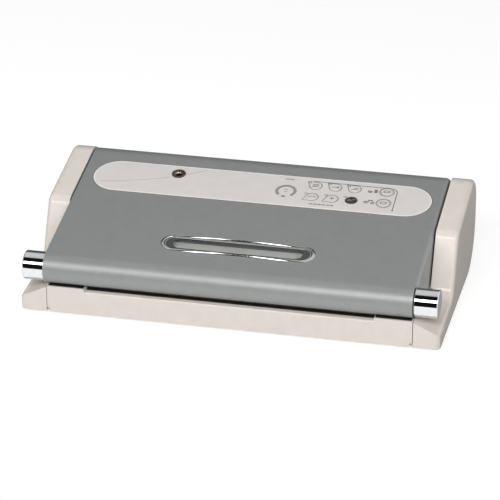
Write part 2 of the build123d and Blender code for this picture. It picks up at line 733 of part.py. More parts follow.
def pressure_strip():
    """Silicone strip in the liner that presses the bag on the sealing bar."""
    half = BAR_LENGTH / 2
    strip = block(
        -half, half, BAR_Y - STRIP_WIDTH / 2, BAR_Y + STRIP_WIDTH / 2, STRIP_Z, STRIP_Z + STRIP_HEIGHT
    )
    return chamfer(strip.edges().filter_by(Axis.X).group_by(Axis.Z)[0], STRIP_BEVEL)


# Machinery
def suction_nipple():
    """Nipple through the channel's rear wall."""
    back = CHANNEL_BACK_Y + HOUSING_WALL
    nipple = rod_y(NOZZLE_X, NOZZLE_Z, INLET_RADIUS, CHANNEL_BACK_Y, back + NOZZLE_TAIL)
    nipple += rod_y(NOZZLE_X, NOZZLE_Z, 2 * INLET_RADIUS, back, back + NIPPLE_FLANGE)
    return nipple - rod_y(NOZZLE_X, NOZZLE_Z, INLET_BORE, CHANNEL_BACK_Y - PAST, back + NOZZLE_TAIL + PAST)


def pump_corner():
    """Front left lower corner of the pump head."""
    return (MOTOR_X + MOTOR_LENGTH, PUMP_Y - PUMP_SIZE[1] / 2, PUMP_Z - PUMP_SIZE[2] / 2)


def pump_inlet():
    """Place of the pump's inlet on its front."""
    left, front, low = pump_corner()
    return (left + PUMP_SIZE[0] / 2, front, NOZZLE_Z)


def suction_hose():
    """Hose from the channel's nipple to the pump's inlet, level all the way."""
    back = CHANNEL_BACK_Y + HOUSING_WALL
    start = back + NIPPLE_FLANGE + SEAT_GAP
    turn = back + NOZZLE_TAIL + SUCTION_BEND + SEAT_GAP
    x, front, z = pump_inlet()
    path = FilletPolyline(
        (NOZZLE_X, start, z), (NOZZLE_X, turn, z), (x, turn, z), (x, front - SEAT_GAP, z), radius=SUCTION_BEND
    )
    ring = Circle(INLET_RADIUS + RUNNING_FIT + HOSE_WALL) - Circle(INLET_RADIUS + RUNNING_FIT)
    return sweep(Plane(origin=(NOZZLE_X, start, z), z_dir=(0, 1, 0)) * ring, path=path)


def pump_motor():
    """Round motor beside the pump head."""
    centre = (PUMP_Y, PUMP_Z)
    motor = rod_x(centre, MOTOR_RADIUS, MOTOR_X, MOTOR_X + MOTOR_LENGTH)
    motor = chamfer(motor.edges().filter_by(GeomType.CIRCLE), MOTOR_BEVEL)
    motor += rod_x(centre, MOTOR_BOSS_RADIUS, MOTOR_X - MOTOR_BOSS_LENGTH, MOTOR_X)
    return motor


def pump_head():
    """Twin-cylinder pump body with its inlet and outlet."""
    left, front, low = pump_corner()
    head = block(left, left + PUMP_SIZE[0], front, front + PUMP_SIZE[1], low, low + PUMP_SIZE[2])
    head = fillet(head.edges().filter_by(Axis.X), PUMP_EDGE)
    top = low + PUMP_SIZE[2] + CYLINDER_RISE
    for share in (1 / 4, 3 / 4):
        head += rod_z((left + share * PUMP_SIZE[0], PUMP_Y), CYLINDER_RADIUS, low, top)
    x, y, z = pump_inlet()
    head += rod_y(x, z, INLET_RADIUS, y - INLET_LENGTH, y)
    head += rod_y(x, z, INLET_RADIUS, y + PUMP_SIZE[1], y + PUMP_SIZE[1] + INLET_LENGTH)
    return head


def pump_mounts():
    """Rubber buffers between the pump and the floor."""
    left, front, low = pump_corner()
    mounts = Part()
    side, end = PUMP_MOUNT_INSET
    for x in (left + side, left + PUMP_SIZE[0] - side):
        for y in (front + end, front + PUMP_SIZE[1] - end):
            mounts += rod_z((x, y), PUMP_MOUNT_RADIUS, FLOOR_TOP_Z, low)
    start = MOTOR_X + CRADLE_START
    half = CRADLE_WIDTH / 2
    cradle = block(
        start, start + CRADLE_LENGTH, PUMP_Y - half, PUMP_Y + half, FLOOR_TOP_Z, PUMP_Z - MOTOR_RADIUS / 2
    )
    return mounts + (cradle - rod_x((PUMP_Y, PUMP_Z), MOTOR_RADIUS + WALL_GAP, MOTOR_X, MOTOR_X + MOTOR_LENGTH))


def transformer_core():
    """Laminated core with two windows."""
    x, y = CORE_CENTRE
    wide, deep, high = CORE_SIZE
    core = block(x - wide / 2, x + wide / 2, y - deep / 2, y + deep / 2, FLOOR_TOP_Z, FLOOR_TOP_Z + high)
    middle = FLOOR_TOP_Z + high / 2
    for side in (-1, 1):
        centre = x + side * wide / 4
        core -= block(
            centre - CORE_WINDOW[0] / 2, centre + CORE_WINDOW[0] / 2, y - deep, y + deep,
            middle - CORE_WINDOW[1] / 2, middle + CORE_WINDOW[1] / 2,
        )
    return core


def transformer_coil():
    """Winding round the core's middle leg."""
    x, y = CORE_CENTRE
    wide, deep, high = CORE_SIZE
    middle = FLOOR_TOP_Z + high / 2
    half = wide / 4 + CORE_WINDOW[0] / 2 - WALL_GAP
    leg = wide / 4 - CORE_WINDOW[0] / 2 + WALL_GAP
    tall = CORE_WINDOW[1] / 2 - WALL_GAP
    reach = deep / 2 + COIL_BULGE
    coil = block(x - half, x + half, y - reach, y + reach, middle - tall, middle + tall)
    coil = fillet(coil.edges().filter_by(Axis.Z), COIL_BULGE / 2)
    return coil - block(x - leg, x + leg, y - deep / 2 - WALL_GAP, y + deep / 2 + WALL_GAP, 0, HINGE_Z)


def board_corners():
    """Places of the main board's standoffs."""
    x, y = MAIN_BOARD_CENTRE
    wide, deep = [size / 2 - STANDOFF_INSET for size in MAIN_BOARD_SIZE]
    return [(x + i * wide, y + j * deep) for i in (-1, 1) for j in (-1, 1)]


def main_board():
    """Circuit board on standoffs."""
    x, y = MAIN_BOARD_CENTRE
    wide, deep = [size / 2 for size in MAIN_BOARD_SIZE]
    low = FLOOR_TOP_Z + STANDOFF_HEIGHT
    return block(x - wide, x + wide, y - deep, y + deep, low, low + BOARD_THICKNESS)


def board_components():
    """Relay, capacitors and connector on the main board."""
    x, y = MAIN_BOARD_CENTRE
    top = FLOOR_TOP_Z + STANDOFF_HEIGHT + BOARD_THICKNESS
    parts = Part()
    for place, (wide, deep, high) in ((RELAY_PLACE, RELAY_SIZE), (CONNECTOR_PLACE, CONNECTOR_SIZE)):
        left, front = x + place[0], y + place[1]
        parts += block(left, left + wide, front, front + deep, top, top + high)
    for place in CAPACITOR_PLACES:
        parts += rod_z((x + place[0], y + place[1]), CAPACITOR_RADIUS, top, top + CAPACITOR_HEIGHT)
    return parts


def vent_valve():
    """Solenoid valve that lets air back into the channel."""
    wide, deep, high = VALVE_SIZE
    start = CHANNEL_BACK_Y + HOUSING_WALL + WALL_GAP
    low = NOZZLE_Z - high / 2 - VALVE_DROP
    body = block(VALVE_X - wide / 2, VALVE_X + wide / 2, start, start + deep, low, low + high)
    body = fillet(body.edges().filter_by(Axis.Y), VALVE_EDGE)
    return body + rod_y(VALVE_X, NOZZLE_Z, INLET_RADIUS, CHANNEL_BACK_Y, start)


def vacuum_switch():
    """Pressure switch plugged into the channel's rear wall."""
    start = CHANNEL_BACK_Y + HOUSING_WALL + WALL_GAP
    body = rod_y(SENSOR_X, NOZZLE_Z - SENSOR_DROP, SENSOR_RADIUS, start, start + SENSOR_LENGTH)
    return body + rod_y(SENSOR_X, NOZZLE_Z, INLET_RADIUS, CHANNEL_BACK_Y, start)


def cord_gland():
    """Bush in the rear wall where a mains lead enters."""
    plane = gland_plane()
    gland = on_plane(plane, Circle(GLAND_FLANGE_RADIUS), WALL_GAP, GLAND_FLANGE)
    gland = chamfer(outer_rim(gland, plane), GLAND_BEVEL)
    gland += on_plane(plane, Circle(GLAND_RADIUS), -GLAND_LENGTH, GLAND_FLANGE / 2)
    return gland - on_plane(plane, Circle(GLAND_BORE), -2 * GLAND_LENGTH, 2 * GLAND_FLANGE)


def keeper():
    """Right-hand steel ledge that the hook catches under."""
    left = COLLAR_X + COLLAR_THICKNESS + HOOK_WIDTH + KEEPER_GAP
    middle = NOSE[0] + HOOK_Y_SHIFT
    top = HOOK_TIP_Z - KEEPER_GAP
    front, back = middle - HOOK_DEPTH, RAIL_Y + PAD_DEPTH - HOUSING_WALL / 2 - WALL_GAP
    ledge = block(left, HOUSING_INNER_X, front, back, top - KEEPER_THICKNESS, top)
    root = HOUSING_INNER_X - KEEPER_THICKNESS
    return ledge + block(root, HOUSING_INNER_X, front, back, top - KEEPER_DROP, top)


# Lid
def lid_outline():
    """Side view of the lid with its side walls."""
    lip = polar(NOSE, NOSE_RADIUS, LIP_ANGLE)
    end = polar(HINGE, BARREL_RADIUS, SKIRT_ANGLE)
    edges = [
        arc(NOSE, NOSE_RADIUS, LIP_ANGLE, TOP_ANGLE),
        Line(polar(NOSE, NOSE_RADIUS, TOP_ANGLE), polar(HINGE, BARREL_RADIUS, TOP_ANGLE)),
        arc(HINGE, BARREL_RADIUS, TOP_ANGLE, SKIRT_ANGLE),
        Polyline(
            end, (HINGE[0] - HINGE_BOSS_RADIUS, HINGE_Z - SIDE_DROP), (RAIL_Y + SIDE_FOOT_SETBACK, LIP_Z), lip
        ),
    ]
    return make_face(edges)


def lid_hollow():
    """Side view of the space inside the lid, open below."""
    nose, barrel = NOSE_RADIUS - LID_WALL, BARREL_RADIUS - LID_WALL
    low_angle = 180.0 + math.degrees(math.asin((NOSE_Z - LIP_Z) / nose))
    start = polar(NOSE, nose, low_angle)
    end = polar(HINGE, barrel, SKIRT_ANGLE)
    edges = [
        arc(NOSE, nose, low_angle, TOP_ANGLE),
        Line(polar(NOSE, nose, TOP_ANGLE), polar(HINGE, barrel, TOP_ANGLE)),
        arc(HINGE, barrel, TOP_ANGLE, SKIRT_ANGLE),
        Polyline(end, polar(HINGE, BARREL_RADIUS + PAST, SKIRT_ANGLE), (REAR_Y, 0), (start[0], 0), start),
    ]
    return make_face(edges)


def key_places():
    """Place of every key on the panel, row by row."""
    return [(x, row) for row in KEY_ROWS for x in KEY_COLUMNS]


def led_places():
    """Places of the status lamps, beside the keys of the first three columns."""
    return [(x + LED_SHIFT[0], row + LED_SHIFT[1]) for row in KEY_ROWS for x in KEY_COLUMNS[:3]]


def lid_shell():
    """Outer shell of the lid, open below, with the holes for window, panel, buttons and hinge."""
    shell = across(lid_outline(), -LID_HALF, LID_HALF)
    for end in (shell.faces().sort_by(Axis.X)[0], shell.faces().sort_by(Axis.X)[-1]):
        rim = end.edges().filter_by(GeomType.CIRCLE) + end.edges().sort_by(SortBy.LENGTH)[-1:]
        shell = fillet(rim, LID_EDGE_RADIUS)
    shell -= across(lid_hollow(), -INNER_X, INNER_X)
    for side in (-1, 1):
        ends = sorted((side * (LID_HALF - BUSH_LENGTH), side * INNER_X))
        shell += rod_x(HINGE, HINGE_BOSS_RADIUS, *ends)
        bore = sorted((side * (LID_HALF - BUTTON_ENTRY - BUTTON_TRAVEL - PAST), side * WIDTH))
        shell -= rod_x(NOSE, BORE_RADIUS, *bore)
    shell -= rod_x(HINGE, BUSH_RADIUS + PIN_FIT, -WIDTH, WIDTH)
    shell -= rod_x(NOSE, NOSE_RADIUS - LID_WALL, -WIDTH, WIDTH)
    shell -= on_plane(WINDOW_PLANE, stadium(WINDOW_LENGTH, WINDOW_DEPTH, WALL_GAP), -2 * LID_WALL, PAST)
    shell -= on_plane(PANEL_PLANE, stadium(PANEL_LENGTH, PANEL_DEPTH, WALL_GAP), -PANEL_RECESS, PAST)
    for x, row in key_places():
        shell -= on_plane(PANEL_PLANE, Pos(x, row) * Circle(KEY_STEM_RADIUS + 2 * KEY_GAP), -2 * LID_WALL, PAST)
    for x, row in led_places():
        shell -= on_plane(PANEL_PLANE, Pos(x, row) * Circle(LED_RADIUS + WALL_GAP), -2 * LID_WALL, PAST)
    port = Pos(PORT_X, PORT_ROW) * Circle(PORT_BODY_RADIUS + WALL_GAP)
    shell -= on_plane(PANEL_PLANE, port, -2 * LID_WALL, PAST)
    far_row = BOARD_DEPTH / 2 - POST_INSET
    for x in (BOARD_LEFT + POST_INSET, BOARD_RIGHT - POST_INSET):
        for row in (-far_row, far_row):
            post = Pos(x, row) * Circle(POST_RADIUS)
            shell += on_plane(PANEL_PLANE, post, BOARD_TOP, -PANEL_RECESS - POST_ROOT)
    return shell


def liner_face():
    """Side view of the liner: flat over the deck, then up and back over the machinery cover."""
    rise_y = RAIL_Y + LINER_RISE_SETBACK
    top_y, top_z = rise_y + LINER_RISE_RUN, LIP_Z + LINER_RISE
    rear_y = HINGE[0] - LINER_REAR_GAP
    line = [(LINER_FRONT_Y, LIP_Z), (rise_y, LIP_Z), (top_y, top_z), (rear_y, LINER_REAR_Z)]
    upper = [(rear_y, LINER_REAR_Z + LINER_THICKNESS), (top_y - LINER_RISE_SHIFT, top_z + LINER_THICKNESS)]
    upper += [(rise_y - LINER_RISE_SHIFT, LIP_Z + LINER_THICKNESS), (LINER_FRONT_Y, LIP_Z + LINER_THICKNESS)]
    return side_face(*line, *upper)


def chamber_nipple():
    """Place of the hose nipple on the chamber's roof."""
    return (PORT_X, RAIL_Y + NIPPLE_SETBACK)


def window_foot_y():
    """Where the window's middle, seen square to the lid, meets the chamber's roof."""
    drop = WINDOW_PLANE.origin.Z - CHAMBER_ROOF_Z
    return WINDOW_PLANE.origin.Y + drop * math.tan(math.radians(SLOPE))


def pane_outline(grow=0.0):
    """Outline of the pane in the chamber's roof."""
    return Pos(0, window_foot_y(), CHAMBER_ROOF_Z) * stadium(WINDOW_LENGTH, WINDOW_DEPTH - PANE_MARGIN, grow)


def lid_liner():
    """Inner panel of the lid with the chamber's roof, the gasket's groove and the strip's channel."""
    half = INNER_X - FLOOR_GAP
    liner = across(liner_face(), -half, half)
    tongue = LINER_FRONT_Y + LINER_TONGUE_DEPTH
    for side in (-1, 1):
        ends = sorted((side * TONGUE_X, side * WIDTH))
        liner -= block(*ends, NOSE_Y, tongue, 0, HINGE_Z)
    wall = LINER_THICKNESS
    roof = CHAMBER_ROOF_Z + wall
    liner += extrude(Pos(0, 0, LIP_Z) * channel_plan(wall), roof - LIP_Z)
    holder = STRIP_WIDTH / 2 + wall
    length = BAR_LENGTH / 2 + wall
    liner += block(-length, length, BAR_Y - holder, BAR_Y + holder, LIP_Z, STRIP_Z + STRIP_HEIGHT + wall)
    liner += extrude(Pos(0, 0, LIP_Z) * gasket_ring(wall), 2 * wall)
    nipple = chamber_nipple()
    liner += rod_z(nipple, PORT_SPIGOT_RADIUS, roof - wall, roof + PORT_SPIGOT_LENGTH)
    liner -= extrude(Pos(0, 0, LIP_Z - PAST) * channel_plan(), CHAMBER_RISE + PAST)
    liner -= rod_z(nipple, ROOF_BORE, LIP_Z, HINGE_Z)
    groove = STRIP_WIDTH / 2 + WALL_GAP
    reach = BAR_LENGTH / 2 + WALL_GAP
    liner -= block(-reach, reach, BAR_Y - groove, BAR_Y + groove, 0, STRIP_Z + STRIP_HEIGHT)
    liner -= extrude(gasket_ring(WALL_GAP), LIP_Z + LINER_GROOVE)
    return liner - extrude(pane_outline(WALL_GAP), 2 * wall)


def window_lens():
    """Clear lens with a bevelled edge and a flange under the shell."""
    lens = on_plane(WINDOW_PLANE, stadium(WINDOW_LENGTH, WINDOW_DEPTH), -LID_WALL, WINDOW_PROUD)
    top = lens.faces().sort_by(lambda face: WINDOW_PLANE.to_local_coords(face.center()).Z)[-1]
    lens = chamfer(top.edges(), WINDOW_BEVEL)
    rim = stadium(WINDOW_LENGTH, WINDOW_DEPTH, WINDOW_FLANGE)
    return lens + on_plane(WINDOW_PLANE, rim, -LID_WALL - WINDOW_FLANGE_THICKNESS, -LID_WALL)


def inner_window():
    """Clear pane in the chamber's roof."""
    return extrude(pane_outline(), PANE_THICKNESS)


def control_overlay():
    """Front plate of the control panel."""
    low, high = PANEL_GLUE - PANEL_RECESS, PANEL_TOP
    panel = on_plane(PANEL_PLANE, stadium(PANEL_LENGTH, PANEL_DEPTH), low, high)
    for x, row in key_places():
        panel -= on_plane(PANEL_PLANE, Pos(x, row) * Circle(KEY_RADIUS + KEY_GAP), low - PAST, high + PAST)
    for x, row in led_places():
        panel -= on_plane(PANEL_PLANE, Pos(x, row) * Circle(LED_RADIUS + WALL_GAP), low - PAST, high + PAST)
    return panel - on_plane(
        PANEL_PLANE, Pos(PORT_X, PORT_ROW) * Circle(PORT_BODY_RADIUS + WALL_GAP), low - PAST, high + PAST
    )


def panel_key(x, row):
    """Round key with the stem that reaches its switch."""
    place = Pos(x, row)
    key = on_plane(PANEL_PLANE, place * Circle(KEY_RADIUS), KEY_TOP - KEY_HEIGHT, KEY_TOP)
    return key + on_plane(PANEL_PLANE, place * Circle(KEY_STEM_RADIUS), KEY_FOOT, KEY_TOP - KEY_HEIGHT)


def key_switches():
    """Small switches on the panel board, one under each key."""
    switches = Part()
    for x, row in key_places():
        square = Pos(x, row) * Rectangle(SWITCH_SIZE, SWITCH_SIZE)
        switches += on_plane(PANEL_PLANE, square, BOARD_TOP, SWITCH_TOP)
    return switches


def panel_board():
    """Circuit board under the control panel."""
    centre = Pos((BOARD_LEFT + BOARD_RIGHT) / 2, 0)
    board = centre * Rectangle(BOARD_RIGHT - BOARD_LEFT, BOARD_DEPTH)
    return on_plane(PANEL_PLANE, board, BOARD_TOP - BOARD_THICKNESS, BOARD_TOP)


def status_leds():
    """Lamps that stand on the panel board and end level with the panel."""
    lamps = Part()
    for x, row in led_places():
        lamps += on_plane(PANEL_PLANE, Pos(x, row) * Circle(LED_RADIUS), BOARD_TOP, PANEL_TOP + LED_PROUD)
    return lamps


def accessory_port():
    """Bush for the hose of a vacuum container, with a spigot inside the lid."""
    place = Pos(PORT_X, PORT_ROW)
    top = PANEL_TOP
    port = on_plane(PANEL_PLANE, place * Circle(PORT_FLANGE_RADIUS), top, top + PORT_FLANGE)
    port = fillet(outer_rim(port, PANEL_PLANE), PORT_EDGE)
    port += on_plane(PANEL_PLANE, place * Circle(PORT_BODY_RADIUS), -(PORT_LENGTH - PORT_SPIGOT_LENGTH), top)
    port += on_plane(PANEL_PLANE, place * Circle(PORT_SPIGOT_RADIUS), -PORT_LENGTH, top)
    return port - on_plane(PANEL_PLANE, place * Circle(PORT_BORE), -2 * PORT_LENGTH, 2 * PORT_LENGTH)


def port_hose():
    """Hose from the accessory port to the chamber's roof, in one upright plane."""
    normal = PANEL_PLANE.z_dir
    start = PANEL_PLANE.from_local_coords(Vector(PORT_X, PORT_ROW, PORT_SPIGOT_LENGTH - PORT_LENGTH - SEAT_GAP))
    turn = start - normal * HOSE_DROP
    nipple = chamber_nipple()
    roof = CHAMBER_ROOF_Z + LINER_THICKNESS
    above = roof + PORT_SPIGOT_LENGTH + HOSE_BEND
    points = [(start.Y, start.Z), (turn.Y, turn.Z), (nipple[1], above), (nipple[1], roof + SEAT_GAP)]
    path = Plane.YZ.offset(PORT_X) * FilletPolyline(*points, radius=HOSE_BEND)
    ring = Circle(HOSE_RADIUS + HOSE_WALL) - Circle(HOSE_RADIUS)
    return sweep(Plane(origin=start, z_dir=-normal) * ring, path=path)


# Release buttons
def release_button():
    """Right-hand chrome cap, hollow, with a slightly domed end and a boss for the slider's shaft."""
    left, right = LID_HALF - BUTTON_ENTRY, WIDTH / 2 - BUTTON_END_INSET
    rim, crown = (right - BUTTON_DOME, BUTTON_RADIUS), (right, 0)
    dome_angle = math.degrees(math.asin(BUTTON_RADIUS / DOME_RADIUS))
    profile = make_face([
        Polyline(crown, (left, 0), (left, BUTTON_RADIUS), rim),
        CenterArc((right - DOME_RADIUS, 0), DOME_RADIUS, 0, dome_angle),
    ])
    profile = fillet(profile.vertices().sort_by_distance(rim)[0], BUTTON_EDGE)
    cap = Pos(0, *NOSE) * revolve(profile, Axis.X)
    cap -= rod_x(NOSE, BUTTON_RADIUS - BUTTON_WALL, left - PAST, right - 2 * BUTTON_WALL - BUTTON_DOME)
    cap += rod_x(NOSE, SHAFT_RADIUS + BUTTON_WALL, left, right - BUTTON_WALL)
    return cap - rod_x(NOSE, SHAFT_RADIUS + PIN_FIT, left - PAST, right - 2 * BUTTON_WALL)


def latch_slider():
    """Right-hand shaft with its spring collar and the hook that reaches into the base."""
    shaft_end = WIDTH / 2 - BUTTON_END_INSET - 2 * BUTTON_WALL
    slider = rod_x(NOSE, SHAFT_RADIUS, SHAFT_INNER_X, shaft_end)
    slider += rod_x(NOSE, COLLAR_RADIUS, COLLAR_X, COLLAR_X + COLLAR_THICKNESS)
    left = COLLAR_X + COLLAR_THICKNESS
    right = left + HOOK_WIDTH
    middle = NOSE[0] + HOOK_Y_SHIFT
    front, back = middle - HOOK_DEPTH / 2, middle + HOOK_DEPTH / 2
    slider += block(left, right, front, back, HOOK_TIP_Z, NOSE_Z)
    root, tip, top = right - PAST, right + BARB_REACH, HOOK_TIP_Z + BARB_HEIGHT
    nose = (tip, HOOK_TIP_Z + BARB_HEIGHT / 2)
    barb = make_face(
        Polyline((root, HOOK_TIP_Z), (right, HOOK_TIP_Z), nose, (tip, top), (root, top), close=True)
    )
    return slider + extrude(Plane.XZ.offset(-front) * barb, -HOOK_DEPTH)


def latch_guide():
    """Right-hand disc in the lid's nose that guides the shaft and backs the spring."""
    guide = rod_x(NOSE, NOSE_RADIUS - LID_WALL - WALL_GAP, GUIDE_X, GUIDE_X + GUIDE_THICKNESS)
    guide -= block(0, WIDTH, NOSE_Y, RISER_Y, 0, GUIDE_FOOT_Z)
    return guide - rod_x(NOSE, SHAFT_RADIUS + SHAFT_GAP, 0, WIDTH)


def button_spring():
    """Right-hand coil spring between the guide and the slider's collar."""
    left = GUIDE_X + GUIDE_THICKNESS + SPRING_WIRE + SEAT_GAP
    right = COLLAR_X - SPRING_WIRE - SEAT_GAP
    pitch = (right - left) / SPRING_TURNS
    helix = Helix(pitch=pitch, height=right - left, radius=SPRING_RADIUS)
    wire = Plane(origin=helix @ 0, z_dir=helix % 0) * Circle(SPRING_WIRE)
    spring = sweep(wire, path=helix, is_frenet=True)
    print("spring gap between turns", round(pitch - 2 * SPRING_WIRE, 2))
    return Pos(left, NOSE[0], NOSE[1]) * Rot(0, 90, 0) * spring


KEY_NAMES = (
    "top_key_1", "top_key_2", "top_key_3", "top_key_4",
    "bottom_key_1", "bottom_key_2", "start_key", "bottom_key_4",
)

SINGLE = (
    base_housing, bottom_plate, rubber_feet, base_screws, seal_bar, heater_ribbon, release_tape, lower_gasket,
    suction_nipple, suction_hose, pump_motor, pump_head, pump_mounts, transformer_core, transformer_coil,
    main_board, board_components, vent_valve, vacuum_switch, cord_gland, lid_shell, lid_liner, window_lens,
    inner_window, control_overlay, panel_board, key_switches, status_leds, accessory_port, port_hose,
    upper_gasket, pressure_strip,
)

PAIRED = (
    end_cap, hinge_plate, hinge_pin, hinge_bush, keeper, release_button, latch_slider, latch_guide,
    button_spring,
)


def main():
    """Build every piece and write it to its own file."""
    os.makedirs("parts", exist_ok=True)
    nodes = {make.__name__: make() for make in SINGLE}
    for make in PAIRED:
        piece = make()
        nodes["right_" + make.__name__] = piece
        nodes["left_" + make.__name__] = other_side(piece)
    for name, (x, row) in zip(KEY_NAMES, key_places()):
        nodes[name] = panel_key(x, row)
    for name, part in nodes.items():
        export_step(part, f"parts/{name}.step")


main()
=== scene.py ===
"""Vacuum sealer with a hinged metallic lid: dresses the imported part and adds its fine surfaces.

Sizes are written in millimetres and turned to metres when a mesh is made.
+X is to the machine's right, -Y is its front and +Z is up.
"""
import logging
import math
from dataclasses import dataclass, field
from enum import Enum
from functools import cache
from typing import Any, Callable, Iterable, Sequence

import bmesh
import bpy
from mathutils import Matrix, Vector


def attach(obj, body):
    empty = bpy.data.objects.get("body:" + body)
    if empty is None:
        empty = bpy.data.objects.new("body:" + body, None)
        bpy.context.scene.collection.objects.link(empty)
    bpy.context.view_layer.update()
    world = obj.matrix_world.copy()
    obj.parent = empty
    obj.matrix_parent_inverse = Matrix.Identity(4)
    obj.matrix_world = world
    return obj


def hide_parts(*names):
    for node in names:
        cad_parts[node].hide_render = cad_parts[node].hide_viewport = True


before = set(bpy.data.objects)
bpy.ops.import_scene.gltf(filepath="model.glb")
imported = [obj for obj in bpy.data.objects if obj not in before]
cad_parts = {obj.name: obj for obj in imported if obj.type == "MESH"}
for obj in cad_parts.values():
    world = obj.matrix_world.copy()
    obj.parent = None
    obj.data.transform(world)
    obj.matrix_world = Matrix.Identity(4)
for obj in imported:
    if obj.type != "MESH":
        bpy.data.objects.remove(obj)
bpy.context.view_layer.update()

LOG = logging.getLogger("vacuum_sealer")
MM = 0.001
SIDES = (("right", 1), ("left", -1))
# Largest turn between two points of a slot's round end, in degrees.
END_STEP = 3.0
WHITE_LIGHT = (1.0, 1.0, 1.0, 1.0)
Point2 = tuple[float, float]
Point3 = tuple[float, float, float]
Outline = Sequence[Point2]
Profile = tuple[Point2, ...]
Levels = tuple[Point3, ...]
Table = tuple[tuple[float, ...], ...]
Obj = bpy.types.Object
Draft = bmesh.types.BMesh
Tree = bpy.types.NodeTree
Socket = bpy.types.NodeSocket
Place = Callable[[float, float, float], Point3]


def linear(code: str) -> tuple[float, float, float, float]:
    """Turn an sRGB hex value into linear light.

    Args:
        code: Six hex digits.

    Returns:
        Red, green, blue and an alpha of 1.
    """
    parts = [int(code[i:i + 2], 16) / 255 for i in (0, 2, 4)]
    return (*[p / 12.92 if p <= 0.04045 else ((p + 0.055) / 1.055) ** 2.4 for p in parts], 1.0)


def add_node(
    tree: Tree, kind: str, values: dict[Any, Any] | None = None, **settings: Any
) -> bpy.types.Node:
    """Add a node with its settings, and set or link its inputs.

    Args:
        tree: Tree that gets the node.
        kind: Blender's name for the node.
        values: Input name or number to a value or to a socket that feeds it.
        settings: Properties of the node itself.

    Returns:
        The new node.
    """
    made = tree.nodes.new(kind)
    for key, value in settings.items():
        setattr(made, key, value)
    for key, value in (values or {}).items():
        if isinstance(value, Socket):
            tree.links.new(value, made.inputs[key])
        else:
            made.inputs[key].default_value = value
    return made


def maths(tree: Tree, operation: str, first: Any, second: Any) -> Socket:
    """Result of a math node with two numbers or sockets."""
    return add_node(tree, "ShaderNodeMath", {0: first, 1: second}, operation=operation).outputs[0]


def remap(tree: Tree, value: Socket, given: Point2 = (0.0, 1.0), wanted: Point2 = (0.0, 1.0)) -> Socket:
    """Result of a node that maps one range to another and holds the ends."""
    ends = {"From Min": given[0], "From Max": given[1], "To Min": wanted[0], "To Max": wanted[1]}
    return add_node(tree, "ShaderNodeMapRange", {"Value": value, **ends}).outputs[0]


def blend(tree: Tree, share: Socket, first: Socket, second: Socket) -> Socket:
    """Result of a node that mixes two shaders."""
    return add_node(tree, "ShaderNodeMixShader", {0: share, 1: first, 2: second}).outputs[0]


def blank_tree(owner: bpy.types.Material | bpy.types.World) -> Tree:
    """Turn on the nodes of a material or a world.

    Args:
        owner: Material or world.

    Returns:
        Its node tree, emptied.
    """
    owner.use_nodes = True
    owner.node_tree.nodes.clear()
    return owner.node_tree


def upright(x: float, y: float, z: float) -> Point3:
    """Point of a view from above, at a height."""
    return (x, y, z)


def sideways(y: float, z: float, x: float) -> Point3:
    """Point of a side view, at a place across the machine."""
    return (x, y, z)


def add_object(name: str, data: bpy.types.ID) -> Obj:
    """Put a mesh, a lamp or a camera into the scene.

    Args:
        name: Name of the object.
        data: What it shows.

    Returns:
        The new object.
    """
    made = bpy.data.objects.new(name, data)
    bpy.context.scene.collection.objects.link(made)
    return made


def add_mesh(name: str, draft: Draft) -> Obj:
    """Put a draft in metres into the scene.

    Args:
        name: Name of the object.
        draft: Mesh draft, which is freed.

    Returns:
        The new object.
    """
    mesh = bpy.data.meshes.new(name)
    draft.to_mesh(mesh)
    draft.free()
    return add_object(name, mesh)


class Grain(Enum):
    """How a surface was made, which sets the pattern of its fine relief."""

    ERODED = "spark-eroded mould"
    FLAKE = "metal flake in paint"
    POLISHED = "polished"
    BRUSHED = "drawn or brushed"
    CAST = "sand cast"
    WOVEN = "woven cloth"
    SOFT = "moulded rubber"


